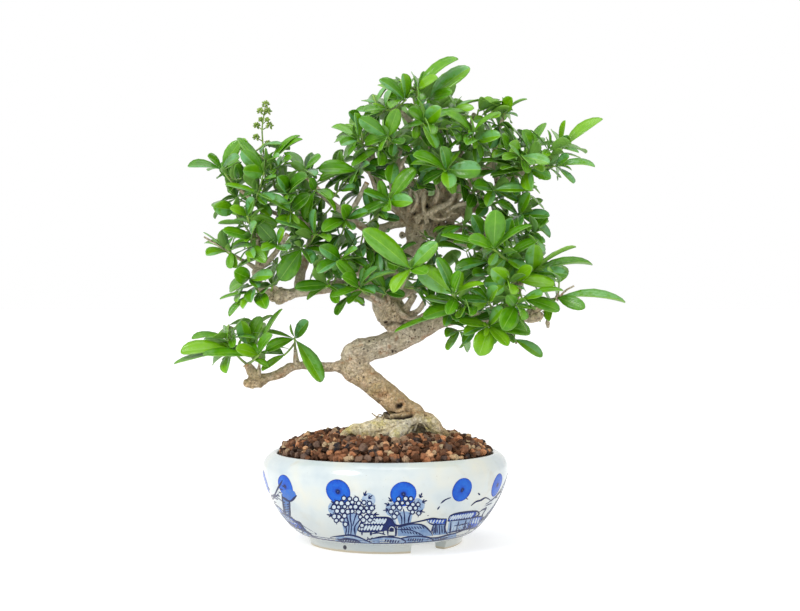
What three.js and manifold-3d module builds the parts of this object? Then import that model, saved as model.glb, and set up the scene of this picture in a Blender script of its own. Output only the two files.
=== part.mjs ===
// A privet bonsai in a round blue-and-white pot.
// Millimetres, +Z up, the front towards -Y. The table is at z = 0.
import * as THREE from "three";
import { mergeVertices } from "three/addons/utils/BufferGeometryUtils.js";
import Module from "manifold-3d";

const { Vector3 } = THREE;

// Driving dimensions
const potRadius = 100; // the bowl at its widest
const potHeight = 73.5;
const mouthRadius = 87.8; // the narrowest place inside the lip
const potSegments = 32;
const gap = 0.35; // clearance between pieces that touch
const ribThickness = 1.2; // a leaf blade at its midrib

// Places on the tree are read off its front view, from this far away and this high.
const viewDistance = 1150;
const eyeHeight = 192;
const eyeSide = 12;

// The real place of what shows at (x, z) in the front view and lies depth behind the pot's axis.
function seen(x, z, depth) {
  const spread = 1 + depth / viewDistance;
  return new Vector3(
    eyeSide + (x - eyeSide) * spread,
    depth,
    eyeHeight + (z - eyeHeight) * spread,
  );
}

// A seeded draw between two values, so that every run grows the same tree
function seededDraw(seed) {
  let state = seed;
  return (low, high) => {
    state = (state * 48271) % 2147483647;
    return low + ((high - low) * state) / 2147483647;
  };
}
const stoneDraw = seededDraw(40711);
const leafDraw = seededDraw(90217);

// Colours and finishes
function finish(color, roughness) {
  return new THREE.MeshStandardMaterial({ color, roughness, metalness: 0 });
}
const finishes = {
  porcelain: finish(0xe9ece8, 0.2),
  plastic: finish(0x23241f, 0.6),
  soil: finish(0x3d2b20, 0.95),
  gravel: finish(0x7b452f, 0.9),
  bark: finish(0xa98f6e, 0.8),
  leaf: finish(0x3f8a17, 0.4),
  bud: finish(0xa4bf5e, 0.5),
};

// Joining and cutting closed meshes
const wasm = await Module();
wasm.setup();

function solidOf(geometry) {
  const bare = geometry.clone();
  bare.deleteAttribute("normal");
  bare.deleteAttribute("uv");
  const merged = mergeVertices(bare, 1e-4);
  return new wasm.Manifold(
    new wasm.Mesh({
      numProp: 3,
      vertProperties: merged.attributes.position.array,
      triVerts: new Uint32Array(merged.index.array),
    }),
  );
}

function geometryOf(solid) {
  const mesh = solid.getMesh();
  const geometry = new THREE.BufferGeometry();
  geometry.setAttribute(
    "position",
    new THREE.BufferAttribute(mesh.vertProperties, 3),
  );
  geometry.setIndex(new THREE.BufferAttribute(mesh.triVerts, 1));
  return geometry;
}

// A closed mesh from a list of points and a list of triangles
function solidFrom(points, triangles) {
  const geometry = new THREE.BufferGeometry();
  geometry.setAttribute(
    "position",
    new THREE.Float32BufferAttribute(points.flatMap((p) => p.toArray()), 3),
  );
  geometry.setIndex(triangles.flat());
  return solidOf(geometry);
}

// The biggest body of a solid: cutting can leave loose scraps beside it.
function biggest(solid) {
  const bodies = solid.decompose();
  return bodies.reduce((a, b) => (a.volume() > b.volume() ? a : b));
}

// A tube through stations of { point, radius }, closed at both ends
function taperedTube(stations, sides, extra = 0) {
  const points = [];
  const triangles = [];
  const tangents = stations.map((station, i) => {
    const before = stations[Math.max(i - 1, 0)].point;
    const after = stations[Math.min(i + 1, stations.length - 1)].point;
    return after.clone().sub(before).normalize();
  });
  const side = new Vector3(0, 1, 0).cross(tangents[0]);
  if (side.length() < 0.1) side.set(1, 0, 0);
  stations.forEach(({ point, radius }, i) => {
    const tangent = tangents[i];
    side.addScaledVector(tangent, -side.dot(tangent)).normalize();
    const up = tangent.clone().cross(side);
    const last = stations.length - 1;
    const reach = i === 0 ? -extra : i === last ? extra : 0;
    const centre = point.clone().addScaledVector(tangent, reach);
    for (let k = 0; k < sides; k++) {
      const angle = (2 * Math.PI * k) / sides;
      points.push(
        centre
          .clone()
          .addScaledVector(side, Math.cos(angle) * (radius + extra))
          .addScaledVector(up, Math.sin(angle) * (radius + extra)),
      );
    }
    if (i === 0) return;
    for (let k = 0; k < sides; k++) {
      const a = (i - 1) * sides + k;
      const b = (i - 1) * sides + ((k + 1) % sides);
      triangles.push([a, b, b + sides], [a, b + sides, a + sides]);
    }
  });
  const top = (stations.length - 1) * sides;
  for (let k = 1; k < sides - 1; k++) {
    triangles.push([0, k + 1, k], [top, top + k, top + k + 1]);
  }
  return solidFrom(points, triangles);
}

// The wood: each row of a route is [x, z, depth, radius], x and z as seen from the front.
const trunkRoutes = {
  trunkLower: [[24, 50, 0, 6], [26, 68, 0, 11], [27, 88, -3, 12], [25, 101, -2, 9.6],
    [17, 107.5, -1, 9.6], [10, 111.5, -1, 10.4], [-8, 126.5, -2, 10], [-19, 136, -2, 10.3],
    [-27, 143, -2, 11], [-29, 150, -2, 9.4]],
  trunkMiddle: [[-31, 145, -2, 8.4], [-25.5, 151, -2, 11.2], [-15, 155.5, -2, 10.2],
    [0, 160, -1, 9.4], [15, 164.8, 0, 9], [30, 172, -3, 7.6], [46, 179, -8, 6.2], [62, 182, -13, 5.4],
    [80, 182, -18, 4.8], [98, 184, -22, 4.2], [114, 183, -26, 3.5], [127, 183, -30, 3.2]],
  trunkUpper: [[22, 167, 0, 7.4], [13, 176, 1, 9.4], [5, 187, 2, 12.6], [-1, 198, 4, 11.2],
    [1, 213, 8, 9.2], [11, 228, 9, 8.4], [23, 241, 8, 8.4], [26, 251, 7, 10.6],
    [30, 260, 6, 14.4], [38, 269, 5, 15], [52, 275, 5, 9]],
};
const rootRoutes = {
  rootFlare: [[46, 88, -10, 4], [36, 96, -9, 8], [22, 96.5, -12, 9.4], [8, 93, -20, 9.6],
    [-6, 91.5, -24, 8.6], [-18, 90.5, -24, 5.6], [-28, 90.5, -22, 3.4], [-36, 84, -22, 2]],
  rootFront: [[16, 90, -20, 7.5], [7, 83, -36, 5], [2, 74, -46, 2.4]],
  rootRight: [[30, 94, -6, 9], [43, 89, -3, 6], [54, 80, -3, 4], [62, 70, -6, 2]],
  rootBack: [[26, 88, 4, 11], [34, 84, 22, 7], [38, 74, 36, 4], [40, 66, 42, 2]],
};
const branchRoutes = {
  lowLeft: [[-28, 145, -3, 6], [-40, 142, -5, 3.9], [-54, 142, -8, 3.4], [-68, 143, -11, 3.7],
    [-77, 141.5, -13, 3.6], [-90, 134.7, -17, 3.6], [-104, 131, -20, 4.2], [-115, 128.5, -22, 2.7]],
  lowLeftStub: [[-104, 131, -20, 4.4], [-109, 138, -22, 4.6], [-113, 144, -23, 3.4]],
  lowLeftTwig: [[-72, 142, -12, 3], [-73, 149, -12, 2.2], [-73.5, 156, -12, 1.3]],
  leftMid: [[2, 203, 6, 7.4], [-16, 207, 0, 6], [-36, 208, -6, 5.4], [-54, 206, -11, 5],
    [-70, 203, -15, 4.7], [-85, 199.5, -18, 4.9], [-97, 202, -20, 3.9], [-104, 211, -22, 3.5],
    [-104, 222, -22, 3]],
  leftPost: [[-104, 221, -22, 2.6], [-103.5, 236, -24, 2.1], [-104, 251, -25, 1.6]],
  leftCut: [[-104, 221, -22, 2.6], [-92, 232, -28, 2.3], [-80, 250, -32, 2]],
  leftReach: [[-104, 221, -22, 2.2], [-113, 227, -22, 1.6], [-121, 231, -23, 1.2]],
  leftInner: [[-70, 203, -14, 4.2], [-70, 214, -8, 3.8], [-66, 228, -4, 3.2], [-61, 244, -2, 2.6],
    [-64, 262, 0, 2.2], [-76, 278, -4, 1.9], [-90, 288, -8, 1.6]],
  leftFar: [[-64, 262, 0, 2.2], [-86, 266, -8, 1.9], [-106, 276, -12, 1.6], [-118, 286, -12, 1.3]],
  leftSlant: [[-36, 208, -6, 2.8], [-44, 226, -12, 2], [-54, 240, -16, 1.7], [-70, 255, -18, 1.4]],
  leftHigh: [[16, 262, 4, 5.4], [3, 257, -2, 3.4], [-10, 254, -8, 3], [-22, 258, -14, 3],
    [-31, 265, -20, 2.9]],
  cutLong: [[-30, 264, -20, 2.8], [-44, 276, -24, 2.6], [-57, 288, -28, 2.5]],
  cutShort: [[-30, 264, -20, 2.6], [-22, 279, -26, 2.2], [-15, 292, -30, 2.1]],
  crownLeft: [[20, 268, 2, 6], [4, 278, 0, 4.2], [-5, 292, -4, 3.6], [-8, 306, -8, 3],
    [-17, 314, -12, 1.8]],
  crownLeftTop: [[-8, 304, -8, 2.4], [-12, 322, -6, 1.9], [-16, 336, -4, 1.4]],
  crownFork: [[17, 272, 0, 3], [7, 293, -8, 2.3], [10, 307, -12, 1.7], [13, 319, -14, 1.2]],
  crownForkTip: [[8, 299, -10, 1.5], [15, 311, -13, 1.3], [22, 323, -16, 1.1]],
  crownMain: [[44, 272, 4, 7], [46, 294, 0, 4.4], [42, 316, -6, 3.7], [30, 332, -12, 3.2],
    [12, 351, -18, 2.4]],
  crownTop: [[42, 316, -6, 3], [36, 338, -2, 2.4], [28, 354, -4, 2]],
  crownRight: [[52, 273, 4, 6], [58, 288, 0, 3.7], [60, 306, -4, 3.1], [64, 326, -6, 2.6],
    [73, 349, -8, 1.8]],
  farRight: [[46, 271, 4, 9], [64, 271, 0, 5.4], [80, 276, -4, 4], [92, 289, -8, 3.2],
    [106, 298, -12, 2.6], [122, 305, -14, 2]],
  rightUp: [[92, 289, -8, 2.6], [89, 312, -8, 2.2], [92, 334, -12, 1.9], [96, 344, -14, 1.6]],
  rightMid: [[32, 256, 8, 6], [52, 255, 4, 3.4], [72, 253, -2, 2.9], [90, 252, -8, 2.8],
    [99, 262, -10, 2.4]],
  rightLowUp: [[96, 184, -22, 3.2], [103, 200, -22, 2.6], [108, 215, -22, 2.1], [110, 228, -20, 1.6]],
  rightLowCut: [[98, 184, -24, 3], [105, 197, -38, 2.2], [113, 216, -48, 1.7]],
  rightEnd: [[114, 183, -26, 3], [126, 191, -30, 2.2], [136, 197, -32, 1.6]],
  frontLeft: [[0, 196, 0, 4], [-4, 197, -20, 2.4], [-13, 201, -38, 1.7]],
  frontCentre: [[4, 206, 2, 4], [12, 208, -24, 2.6], [17, 215, -46, 1.7]],
  backLow: [[4, 192, 8, 6], [14, 201, 24, 4.2], [28, 206, 38, 3.2], [42, 212, 48, 2.2]],
  backLeft: [[0, 207, 8, 6], [-24, 222, 26, 4], [-46, 236, 38, 3], [-66, 250, 44, 2.2]],
  backCrown: [[34, 268, 12, 8], [26, 286, 30, 4.2], [14, 304, 40, 3.2], [2, 322, 44, 2.2]],
  backRight: [[46, 270, 10, 8], [60, 284, 28, 4], [76, 298, 38, 3], [88, 308, 42, 2.2]],
  backRightLow: [[30, 256, 12, 6], [52, 247, 30, 3.6], [72, 240, 42, 2.6], [88, 234, 48, 2]],
};

function stationsOf(route) {
  return route.map(([x, z, depth, radius]) => ({ point: seen(x, z, depth), radius }));
}

const trunkSides = 8;
const rootSides = 6;
const branchSides = 5;
const thinSides = 4; // of branches thinner than thinRadius
const thinRadius = 3.1;

// All the wood as one solid. extra makes it thicker all over, for cutting its place in other pieces.
function woodSolid(extra) {
  const tubes = [
    ...Object.values(trunkRoutes).map((r) => taperedTube(stationsOf(r), trunkSides, extra)),
    ...Object.values(rootRoutes).map((r) => taperedTube(stationsOf(r), rootSides, extra)),
    ...Object.values(branchRoutes).map((r) => {
      const sides = r[0][3] < thinRadius ? thinSides : branchSides;
      return taperedTube(stationsOf(r), sides, extra);
    }),
  ];
  return wasm.Manifold.union(tubes);
}

// Rods stand for wood and twigs when a leaf looks for free space.
const rods = [];
function addRods(stations, owner) {
  for (let i = 1; i < stations.length; i++) {
    rods.push({ from: stations[i - 1], to: stations[i], owner });
  }
}
for (const routes of [trunkRoutes, rootRoutes, branchRoutes]) {
  for (const route of Object.values(routes)) addRods(stationsOf(route), "wood");
}

// The sprays: a shoot is [x, z, depth, leaf, leaf, ...], x and z as seen from the front, and a leaf
// is [x, z, width]: where its tip shows, and how wide the blade looks. A shoot with no leaves listed
// faces away from the front, and its leaves come from the rule in ringOfLeaves.
const sprays = [
  { name: "spray_low_left_front", on: "lowLeftStub", shoots: [
    [-103, 152, -36, [-149, 151, 9], [-94, 168, 8], [-122, 157, 9], [-111, 161, 8]],
    [-112, 160, -12, [-101, 183, 10], [-118, 180, 11], [-104, 162, 8]]] },
  { name: "spray_low_left_outer", on: "lowLeftStub", shoots: [
    [-125, 156, -26, [-167, 155, 8], [-172, 143, 7], [-142, 145, 6], [-147, 163, 9],
      [-131, 138, 6]],
    [-129, 166, -18, [-158, 166, 3], [-128, 174, 5], [-136, 167, 6]]] },
  { name: "spray_low_left_inner", on: "lowLeftTwig", shoots: [
    [-74, 166, -12, [-62, 179, 8], [-53, 129, 9], [-97, 156, 8]],
    [-83, 151, -18, [-99, 155, 7], [-100, 138, 7]]] },
  { name: "spray_left_tip", on: "leftReach", shoots: [
    [-130, 236, -24, [-146, 234, 5], [-149, 251, 2], [-110, 241, 5], [-124, 247, 4]]] },
  { name: "spray_left_lower", on: "leftMid", shoots: [
    [-111, 214, -34, [-124, 220, 13], [-92, 216, 9], [-127, 205, 9]],
    [-103, 201, -32, [-135, 197, 2], [-128, 184, 3], [-98, 191, 11]]] },
  { name: "spray_left_heart", on: "leftInner", shoots: [
    [-68, 239, -30, [-86, 213, 16], [-60, 228, 8], [-74, 245, 9]],
    [-57, 250, -36, [-89, 263, 7], [-57, 270, 6], [-79, 250, 6], [-50, 256, 7]]] },
  { name: "spray_left_side", on: "leftPost", shoots: [
    [-109, 247, -32, [-133, 253, 9], [-106, 259, 7]],
    [-113, 266, -42, [-89, 257, 11], [-107, 279, 8], [-126, 272, 6]],
    [-124, 271, -32, [-139, 272, 12], [-118, 262, 6]]] },
  { name: "spray_left_stub", on: "leftCut", shoots: [
    [-88, 241, -40, [-80, 236, 7], [-101, 238, 6], [-104, 259, 12]]] },
  { name: "spray_left_bloom", on: "leftFar", shoots: [
    [-104, 284, -42, [-131, 290, 6], [-78, 271, 9], [-118, 280, 7], [-92, 278, 6]],
    [-99, 301, -38, [-117, 318, 11], [-116, 302, 11], [-121, 328, 9], [-97, 318, 6]]] },
  { name: "spray_left_high", on: "leftInner", shoots: [
    [-94, 308, -30, [-69, 329, 6], [-71, 332, 6]],
    [-87, 304, -24, [-98, 302, 8], [-78, 312, 6], [-87, 290, 6]]] },
  { name: "spray_left_far", on: "leftFar", shoots: [
    [-134, 304, -22, [-118, 326, 10], [-161, 307, 6], [-119, 313, 9]],
    [-117, 296, -20, [-123, 307, 9], [-108, 306, 9], [-126, 290, 7], [-110, 290, 7]]] },
  { name: "spray_left_right", on: "cutLong", shoots: [
    [-57, 286, -38, [-65, 260, 8], [-45, 280, 8], [-62, 296, 7]],
    [-67, 303, -28, [-81, 317, 8], [-58, 299, 6]]] },
  { name: "spray_left_centre", on: "leftInner", shoots: [
    [-79, 283, -42, [-87, 297, 7], [-66, 298, 9], [-95, 284, 6], [-73, 292, 8]],
    [-77, 268, -38, [-62, 282, 10], [-90, 262, 6]]] },
  { name: "spray_mid_left", on: "leftHigh", shoots: [
    [-32, 262, -34, [-51, 254, 9], [-34, 273, 7], [-14, 268, 6]]] },
  { name: "spray_mid_light", on: "crownLeft", shoots: [
    [-22, 301, -30, [-54, 304, 11], [-54, 295, 6], [-49, 287, 6], [-26, 292, 6]]] },
  { name: "spray_mid_pair", on: "leftHigh", shoots: [
    [4, 278, -40, [-18, 284, 8], [-21, 266, 9], [21, 277, 11], [24, 304, 12]]] },
  { name: "spray_front_left", on: "leftSlant", shoots: [
    [-36, 229, -46, [-53, 240, 10], [-55, 220, 8], [-44, 222, 8]]] },
  { name: "spray_front_low", on: "frontLeft", shoots: [
    [-22, 207, -52, [-40, 228, 8], [-34, 216, 7], [-43, 198, 7], [-9, 203, 6], [1, 201, 6]]] },
  { name: "spray_front_under", on: "leftMid", shoots: [
    [-46, 209, -34, [-74, 206, 10], [-30, 200, 6]],
    [-28, 200, -28, [-39, 184, 6], [-18, 194, 6]]] },
  { name: "spray_front_centre", on: "frontCentre", shoots: [
    [21, 222, -66, [-19, 253, 17], [43, 243, 10], [6, 204, 8], [34, 217, 7]]] },
  { name: "spray_front_right", on: "trunkMiddle", shoots: [
    [64, 192, -50, [32, 197, 8], [31, 182, 10], [62, 182, 7], [70, 186, 6], [82, 194, 8]],
    [55, 201, -70, [27, 223, 16], [61, 219, 7], [42, 231, 9]],
    [45, 184, -44, [8, 169, 6], [50, 176, 7]]] },
  { name: "spray_right_shoot", on: "rightLowUp", shoots: [
    [88, 238, -62, [45, 248, 8], [90, 270, 16], [69, 247, 8], [119, 258, 6], [79, 232, 7]]] },
  { name: "spray_right_round", on: "rightLowUp", shoots: [
    [100, 211, -62, [88, 221, 13], [81, 211, 10], [104, 203, 8]],
    [107, 213, -46, [120, 223, 9], [138, 208, 8], [131, 215, 7], [113, 206, 7]]] },
  { name: "spray_right_hang", on: "trunkMiddle", shoots: [
    [84, 175, -52, [77, 152, 16], [100, 159, 9], [60, 178, 8], [119, 171, 12], [96, 190, 7]],
    [106, 164, -36, [128, 150, 8]],
    [59, 171, -26, [52, 155, 7], [67, 155, 5]]] },
  { name: "spray_right_fan", on: "trunkMiddle", shoots: [
    [84, 196, -58, [62, 196, 8], [91, 206, 8], [68, 190, 8], [70, 206, 7]],
    [107, 192, -64, [96, 173, 15], [100, 200, 9], [113, 182, 6]]] },
  { name: "spray_right_tip", on: "rightEnd", shoots: [
    [141, 199, -32, [196, 196, 7], [163, 190, 10], [137, 208, 6]]] },
  { name: "spray_right_level", on: "rightLowCut", shoots: [
    [112, 197, -58, [142, 187, 8], [128, 200, 6], [120, 191, 6]]] },
  { name: "spray_right_olive", on: "rightLowUp", shoots: [
    [121, 219, -32, [149, 217, 9], [122, 242, 14], [169, 228, 7], [138, 213, 8]],
    [97, 231, -34, [124, 245, 7], [115, 220, 8], [90, 244, 6]],
    [84, 228, -26, [57, 222, 8], [104, 228, 6], [62, 212, 8]]] },
  { name: "spray_right_pale", on: "rightMid", shoots: [
    [108, 247, -12, [130, 244, 8], [124, 240, 6], [96, 240, 6]],
    [100, 248, -22, [103, 262, 10], [119, 256, 5]],
    [78, 247, -20, [72, 265, 10], [66, 256, 6], [70, 238, 6]]] },
  { name: "spray_right_mid", on: "rightMid", shoots: [
    [110, 266, -16, [134, 265, 8], [118, 284, 8], [92, 276, 7], [109, 257, 8], [135, 249, 8]]] },
  { name: "spray_right_mid_up", on: "farRight", shoots: [
    [88, 286, -28, [115, 287, 9], [73, 290, 8], [83, 274, 8], [97, 276, 6]]] },
  { name: "spray_far_under", on: "farRight", shoots: [
    [117, 303, -26, [118, 287, 8], [135, 295, 8], [86, 297, 7], [128, 303, 6]],
    [106, 305, -30, [77, 310, 4], [96, 302, 6]],
    [110, 314, -42, [134, 308, 9], [103, 324, 8], [118, 306, 6]]] },
  { name: "spray_far_tip", on: "farRight", shoots: [
    [140, 306, -18, [171, 307, 7], [140, 297, 7], [150, 313, 7], [130, 300, 6]],
    [145, 321, -10, [177, 345, 8], [149, 331, 10], [136, 334, 8]]] },
  { name: "spray_far_left", on: "farRight", shoots: [
    [118, 318, -20, [113, 335, 8], [131, 341, 6], [127, 329, 10]],
    [100, 318, -30, [94, 331, 9], [110, 330, 7]]] },
  { name: "spray_crown_star", on: "crownRight", shoots: [
    [75, 326, -38, [93, 331, 10], [67, 325, 6], [60, 326, 7]],
    [71, 333, -48, [50, 350, 5], [94, 350, 5], [50, 317, 5]]] },
  { name: "spray_crown_heart", on: "crownMain", shoots: [
    [50, 302, -54, [78, 303, 14], [52, 287, 11], [30, 292, 8], [23, 316, 7], [47, 321, 8],
      [59, 318, 8]]] },
  { name: "spray_crown_bright", on: "crownMain", shoots: [
    [32, 341, -48, [45, 353, 12], [20, 352, 8], [14, 336, 7], [66, 351, 8], [38, 334, 7]],
    [52, 336, -34, [37, 338, 8], [60, 328, 6], [46, 326, 6]]] },
  { name: "spray_crown_left", on: "crownFork", shoots: [
    [2, 330, -46, [-21, 345, 11], [10, 353, 11], [-17, 325, 8], [-2, 319, 6]],
    [-6, 320, -30, [-4, 308, 7], [-27, 305, 8]]] },
  { name: "spray_crown_edge", on: "crownLeftTop", shoots: [
    [-23, 327, -36, [-36, 324, 8], [-43, 339, 6], [-41, 327, 7], [-33, 312, 8]],
    [-20, 338, -20, [-29, 350, 7], [-12, 349, 8], [-34, 333, 7]]] },
  { name: "spray_crown_top_left", on: "crownMain", shoots: [
    [0, 352, -22, [-17, 351, 7], [-19, 359, 4], [4, 366, 5]],
    [17, 360, -30, [-4, 377, 8], [1, 362, 8], [15, 381, 6]]] },
  { name: "spray_crown_top", on: "crownTop", shoots: [
    [25, 368, -22, [58, 395, 7], [42, 378, 7], [22, 381, 4]],
    [37, 360, -16, [69, 386, 10], [58, 382, 12], [54, 366, 10]]] },
  { name: "spray_crown_right", on: "crownRight", shoots: [
    [82, 345, -22, [93, 345, 7], [79, 352, 6], [72, 343, 6]],
    [52, 350, -24, [72, 353, 8], [61, 361, 5]]] },
  { name: "spray_crown_twig", on: "rightUp", shoots: [
    [97, 350, -16, [104, 362, 8], [81, 361, 3], [115, 361, 2], [93, 356, 6]]] },
  { name: "spray_back_left_low", on: "backLeft", shoots: [
    [-44, 240, 50], [-66, 254, 56]] },
  { name: "spray_back_left", on: "leftFar", shoots: [
    [-100, 272, 14], [-122, 280, 6], [-106, 300, 10]] },
  { name: "spray_back_left_high", on: "leftInner", shoots: [
    [-72, 272, 24], [-86, 296, 14], [-58, 290, 24]] },
  { name: "spray_back_low", on: "backLow", shoots: [
    [42, 216, 60], [60, 206, 50], [16, 214, 44]] },
  { name: "spray_back_right_low", on: "backRightLow", shoots: [
    [90, 238, 60], [70, 248, 54]] },
  { name: "spray_back_heart", on: "backCrown", shoots: [
    [26, 294, 56], [42, 306, 46]] },
  { name: "spray_back_crown", on: "backCrown", shoots: [
    [2, 330, 54], [-20, 312, 40], [18, 336, 44]] },
  { name: "spray_back_crown_high", on: "crownTop", shoots: [
    [24, 356, 14], [44, 352, 28], [36, 338, 34]] },
  { name: "spray_back_right", on: "backRight", shoots: [
    [88, 316, 54], [70, 306, 50], [106, 300, 36]] },
];

const allRoutes = { ...trunkRoutes, ...rootRoutes, ...branchRoutes };

// The place on a branch that lies nearest to a point
function nearestOn(stations, point) {
  let best = null;
  for (let i = 1; i < stations.length; i++) {
    const line = new THREE.Line3(stations[i - 1].point, stations[i].point);
    const foot = line.closestPointToPoint(point, true, new Vector3());
    const distance = foot.distanceTo(point);
    if (!best || distance < best.distance) best = { foot, distance };
  }
  return best.foot;
}

// Green stems: the first grows out of the branch, the others fork off its middle.
const stemSides = 3;
const stemRadii = { root: 1.8, fork: 0.9, end: 1.3 };
function stemsOf(spray) {
  const ends = spray.shoots.map(([x, z, depth]) => seen(x, z, depth));
  const root = nearestOn(stationsOf(allRoutes[spray.on]), ends[0]);
  const fork = root.clone().lerp(ends[0], 0.55);
  return ends.map((end, i) => [
    i === 0 ? { point: root, radius: stemRadii.root } : { point: fork, radius: stemRadii.fork },
    { point: end, radius: stemRadii.end },
  ]);
}

// A blade: half widths along it, as a share of the greatest, and how it bends
const bladeOutline = [[0.38, 0.93], [0.75, 0.87]];
const bladeMiddle = 0.5;
const bladeFold = 0.1;
const bladeArch = 0.07;
const usualLength = 27;
const usualWidth = 0.4; // share of the length
const rootDepth = 1.2; // of the leaves in the end of their stem
const rootOffset = 0.5; // keeps the blades apart in it

// The frame of a blade: along it, across it and up from its face
function bladeFrame(leaf) {
  const along = leaf.tip.clone().sub(leaf.base);
  const length = along.length();
  along.normalize();
  const across = along.clone().cross(leaf.normal).normalize();
  return { along, across, up: across.clone().cross(along), length };
}

// A point of the blade, t along it and side across it, both as shares
function bladePoint(leaf, frame, t, side) {
  const arch = 4 * bladeArch * frame.length * t * (1 - t);
  const fold = bladeFold * leaf.width * Math.abs(side);
  return leaf.base
    .clone()
    .addScaledVector(frame.along, t * frame.length)
    .addScaledVector(frame.across, (side * leaf.width) / 2)
    .addScaledVector(frame.up, arch + fold);
}

function bladeSolid(leaf, extra) {
  const frame = bladeFrame(leaf);
  const edge = [
    [rootOffset / frame.length, 0],
    ...bladeOutline,
    [1, 0],
    ...[...bladeOutline].reverse().map(([t, share]) => [t, -share]),
  ];
  const middle = bladePoint(leaf, frame, bladeMiddle, 0);
  const growth = 1 + (4 * extra) / leaf.width;
  const points = edge.map(([t, side]) => {
    const point = bladePoint(leaf, frame, t, side);
    return point.sub(middle).multiplyScalar(growth).add(middle);
  });
  const half = ribThickness / 2 + extra;
  points.push(middle.clone().addScaledVector(frame.up, half));
  points.push(middle.clone().addScaledVector(frame.up, -half));
  const [top, under] = [edge.length, edge.length + 1];
  const faces = edge.flatMap((_, k) => {
    const next = (k + 1) % edge.length;
    return [[next, top, k], [k, under, next]];
  });
  return solidFrom(points, faces);
}

// Where a blade takes up room: places along it and across it
const feelers = [[0.35, 0], [0.6, 0], [0.95, 0], [0.4, 0.7], [0.4, -0.7], [0.6, 0.8], [0.6, -0.8],
  [0.8, 0.6], [0.8, -0.6]];
const rootShare = 0.38; // below this share, blades of one shoot may touch
const enoughRoom = 3.4;
const leastRoom = 1.5;
const taken = [];

function feelersOf(leaf, owner) {
  const frame = bladeFrame(leaf);
  return feelers.map(([t, side]) => ({ t, owner, point: bladePoint(leaf, frame, t, side) }));
}

// How far a blade stays from all that has grown before it
function roomOf(leaf, owner) {
  const mine = feelersOf(leaf, owner);
  const middle = mine[1].point;
  const reach = leaf.tip.distanceTo(leaf.base) * 0.7 + leaf.width;
  let room = enoughRoom + 0.01;
  for (const other of taken) {
    if (other.point.distanceTo(middle) > reach) continue;
    const near = other.owner === owner && other.t < rootShare;
    for (const { t, point } of mine) {
      if (near && t < rootShare) continue;
      room = Math.min(room, point.distanceTo(other.point));
    }
  }
  const line = new THREE.Line3();
  const foot = new Vector3();
  for (const { from, to, owner: grower } of rods) {
    line.set(from.point, to.point);
    for (const { t, point } of mine) {
      if (grower === owner.spray && t < rootShare) continue;
      line.closestPointToPoint(point, true, foot);
      const radius = Math.max(from.radius, to.radius);
      room = Math.min(room, point.distanceTo(foot) - radius + 0.6);
    }
  }
  return room;
}

// The roomiest of the ways that a leaf could grow, or nothing where all are crowded
function roomiest(ways, owner) {
  let best = null;
  for (const leaf of ways) {
    const room = roomOf(leaf, owner);
    if (room > enoughRoom) {
      best = { leaf, room };
      break;
    }
    if (!best || room > best.room) best = { leaf, room };
  }
  if (best.room < leastRoom) return null;
  taken.push(...feelersOf(best.leaf, owner));
  return best.leaf;
}

// The ways that a leaf can point, away from the front view or towards it, in shares of the length
// that its foreshortened view misses
const depthShares = [-1, 1, -0.6, 0.6, -1.4, 1.4, -0.2, 0.2, -1.8, 1.8];
const leastDepth = 6;

// A leaf whose tip and width are known from the front view
function seenLeaf(base, [x, z, width], depth, owner) {
  const level = seen(x, z, depth).distanceTo(base);
  const missing = Math.sqrt(Math.max(usualLength ** 2 - level ** 2, leastDepth ** 2));
  const ways = depthShares.map((share) => {
    const tip = seen(x, z, depth + share * missing);
    const along = tip.clone().sub(base);
    const length = along.length();
    along.normalize();
    const fullWidth = Math.max(width, Math.min(usualWidth * length, width + 5));
    const facing = new Vector3(0, -1, 0).addScaledVector(along, along.y).normalize();
    const turned = along.clone().cross(facing);
    if (turned.z < 0) turned.negate();
    const cosine = width / fullWidth;
    const normal = facing
      .multiplyScalar(cosine)
      .addScaledVector(turned, Math.sqrt(1 - cosine * cosine));
    return { base, tip, normal, width: fullWidth };
  });
  return roomiest(ways, owner);
}

// Leaves in crossed pairs around a shoot that isn't seen from the front
const hiddenLeaves = 4;
const hiddenLengths = [23, 31];
const treeAxis = new Vector3(8, 0, 0);
function ringOfLeaves(base, owner) {
  const outward = base.clone().sub(treeAxis);
  outward.z = 0.35 * Math.hypot(outward.x, outward.y);
  outward.normalize();
  const level = new Vector3(0, 0, 1).cross(outward).normalize();
  const upright = outward.clone().cross(level);
  const first = leafDraw(0, 2 * Math.PI);
  const leaves = [];
  for (let k = 0; k < hiddenLeaves; k++) {
    const length = leafDraw(...hiddenLengths);
    const ways = [0, 0.2, -0.2, 0.4, -0.4].map((twist) => {
      const angle = first + (2 * Math.PI * k) / hiddenLeaves + twist;
      const open = 1 + 0.15 * (k % 2);
      const along = outward
        .clone()
        .multiplyScalar(Math.cos(open))
        .addScaledVector(level, Math.sin(open) * Math.cos(angle))
        .addScaledVector(upright, Math.sin(open) * Math.sin(angle));
      const tip = base.clone().addScaledVector(along, length);
      const normal = new Vector3(0, 0, 0.8).addScaledVector(outward, 0.6);
      normal.addScaledVector(along, -normal.dot(along)).normalize();
      return { base, tip, normal, width: usualWidth * length };
    });
    leaves.push(roomiest(ways, owner));
  }
  return leaves;
}

// One shoot's leaves, all from a point just inside the end of its stem
function leavesOf(spray, shoot, stem) {
  const [, , depth, ...tips] = shoot;
  const [{ point: start }, { point: end }] = stem;
  const base = end.clone().add(start.clone().sub(end).setLength(rootDepth));
  const owner = { spray: spray.name };
  const leaves = tips.length
    ? tips.map((tip) => seenLeaf(base, tip, depth, owner))
    : ringOfLeaves(base, owner);
  return leaves.filter((leaf) => leaf);
}

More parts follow.
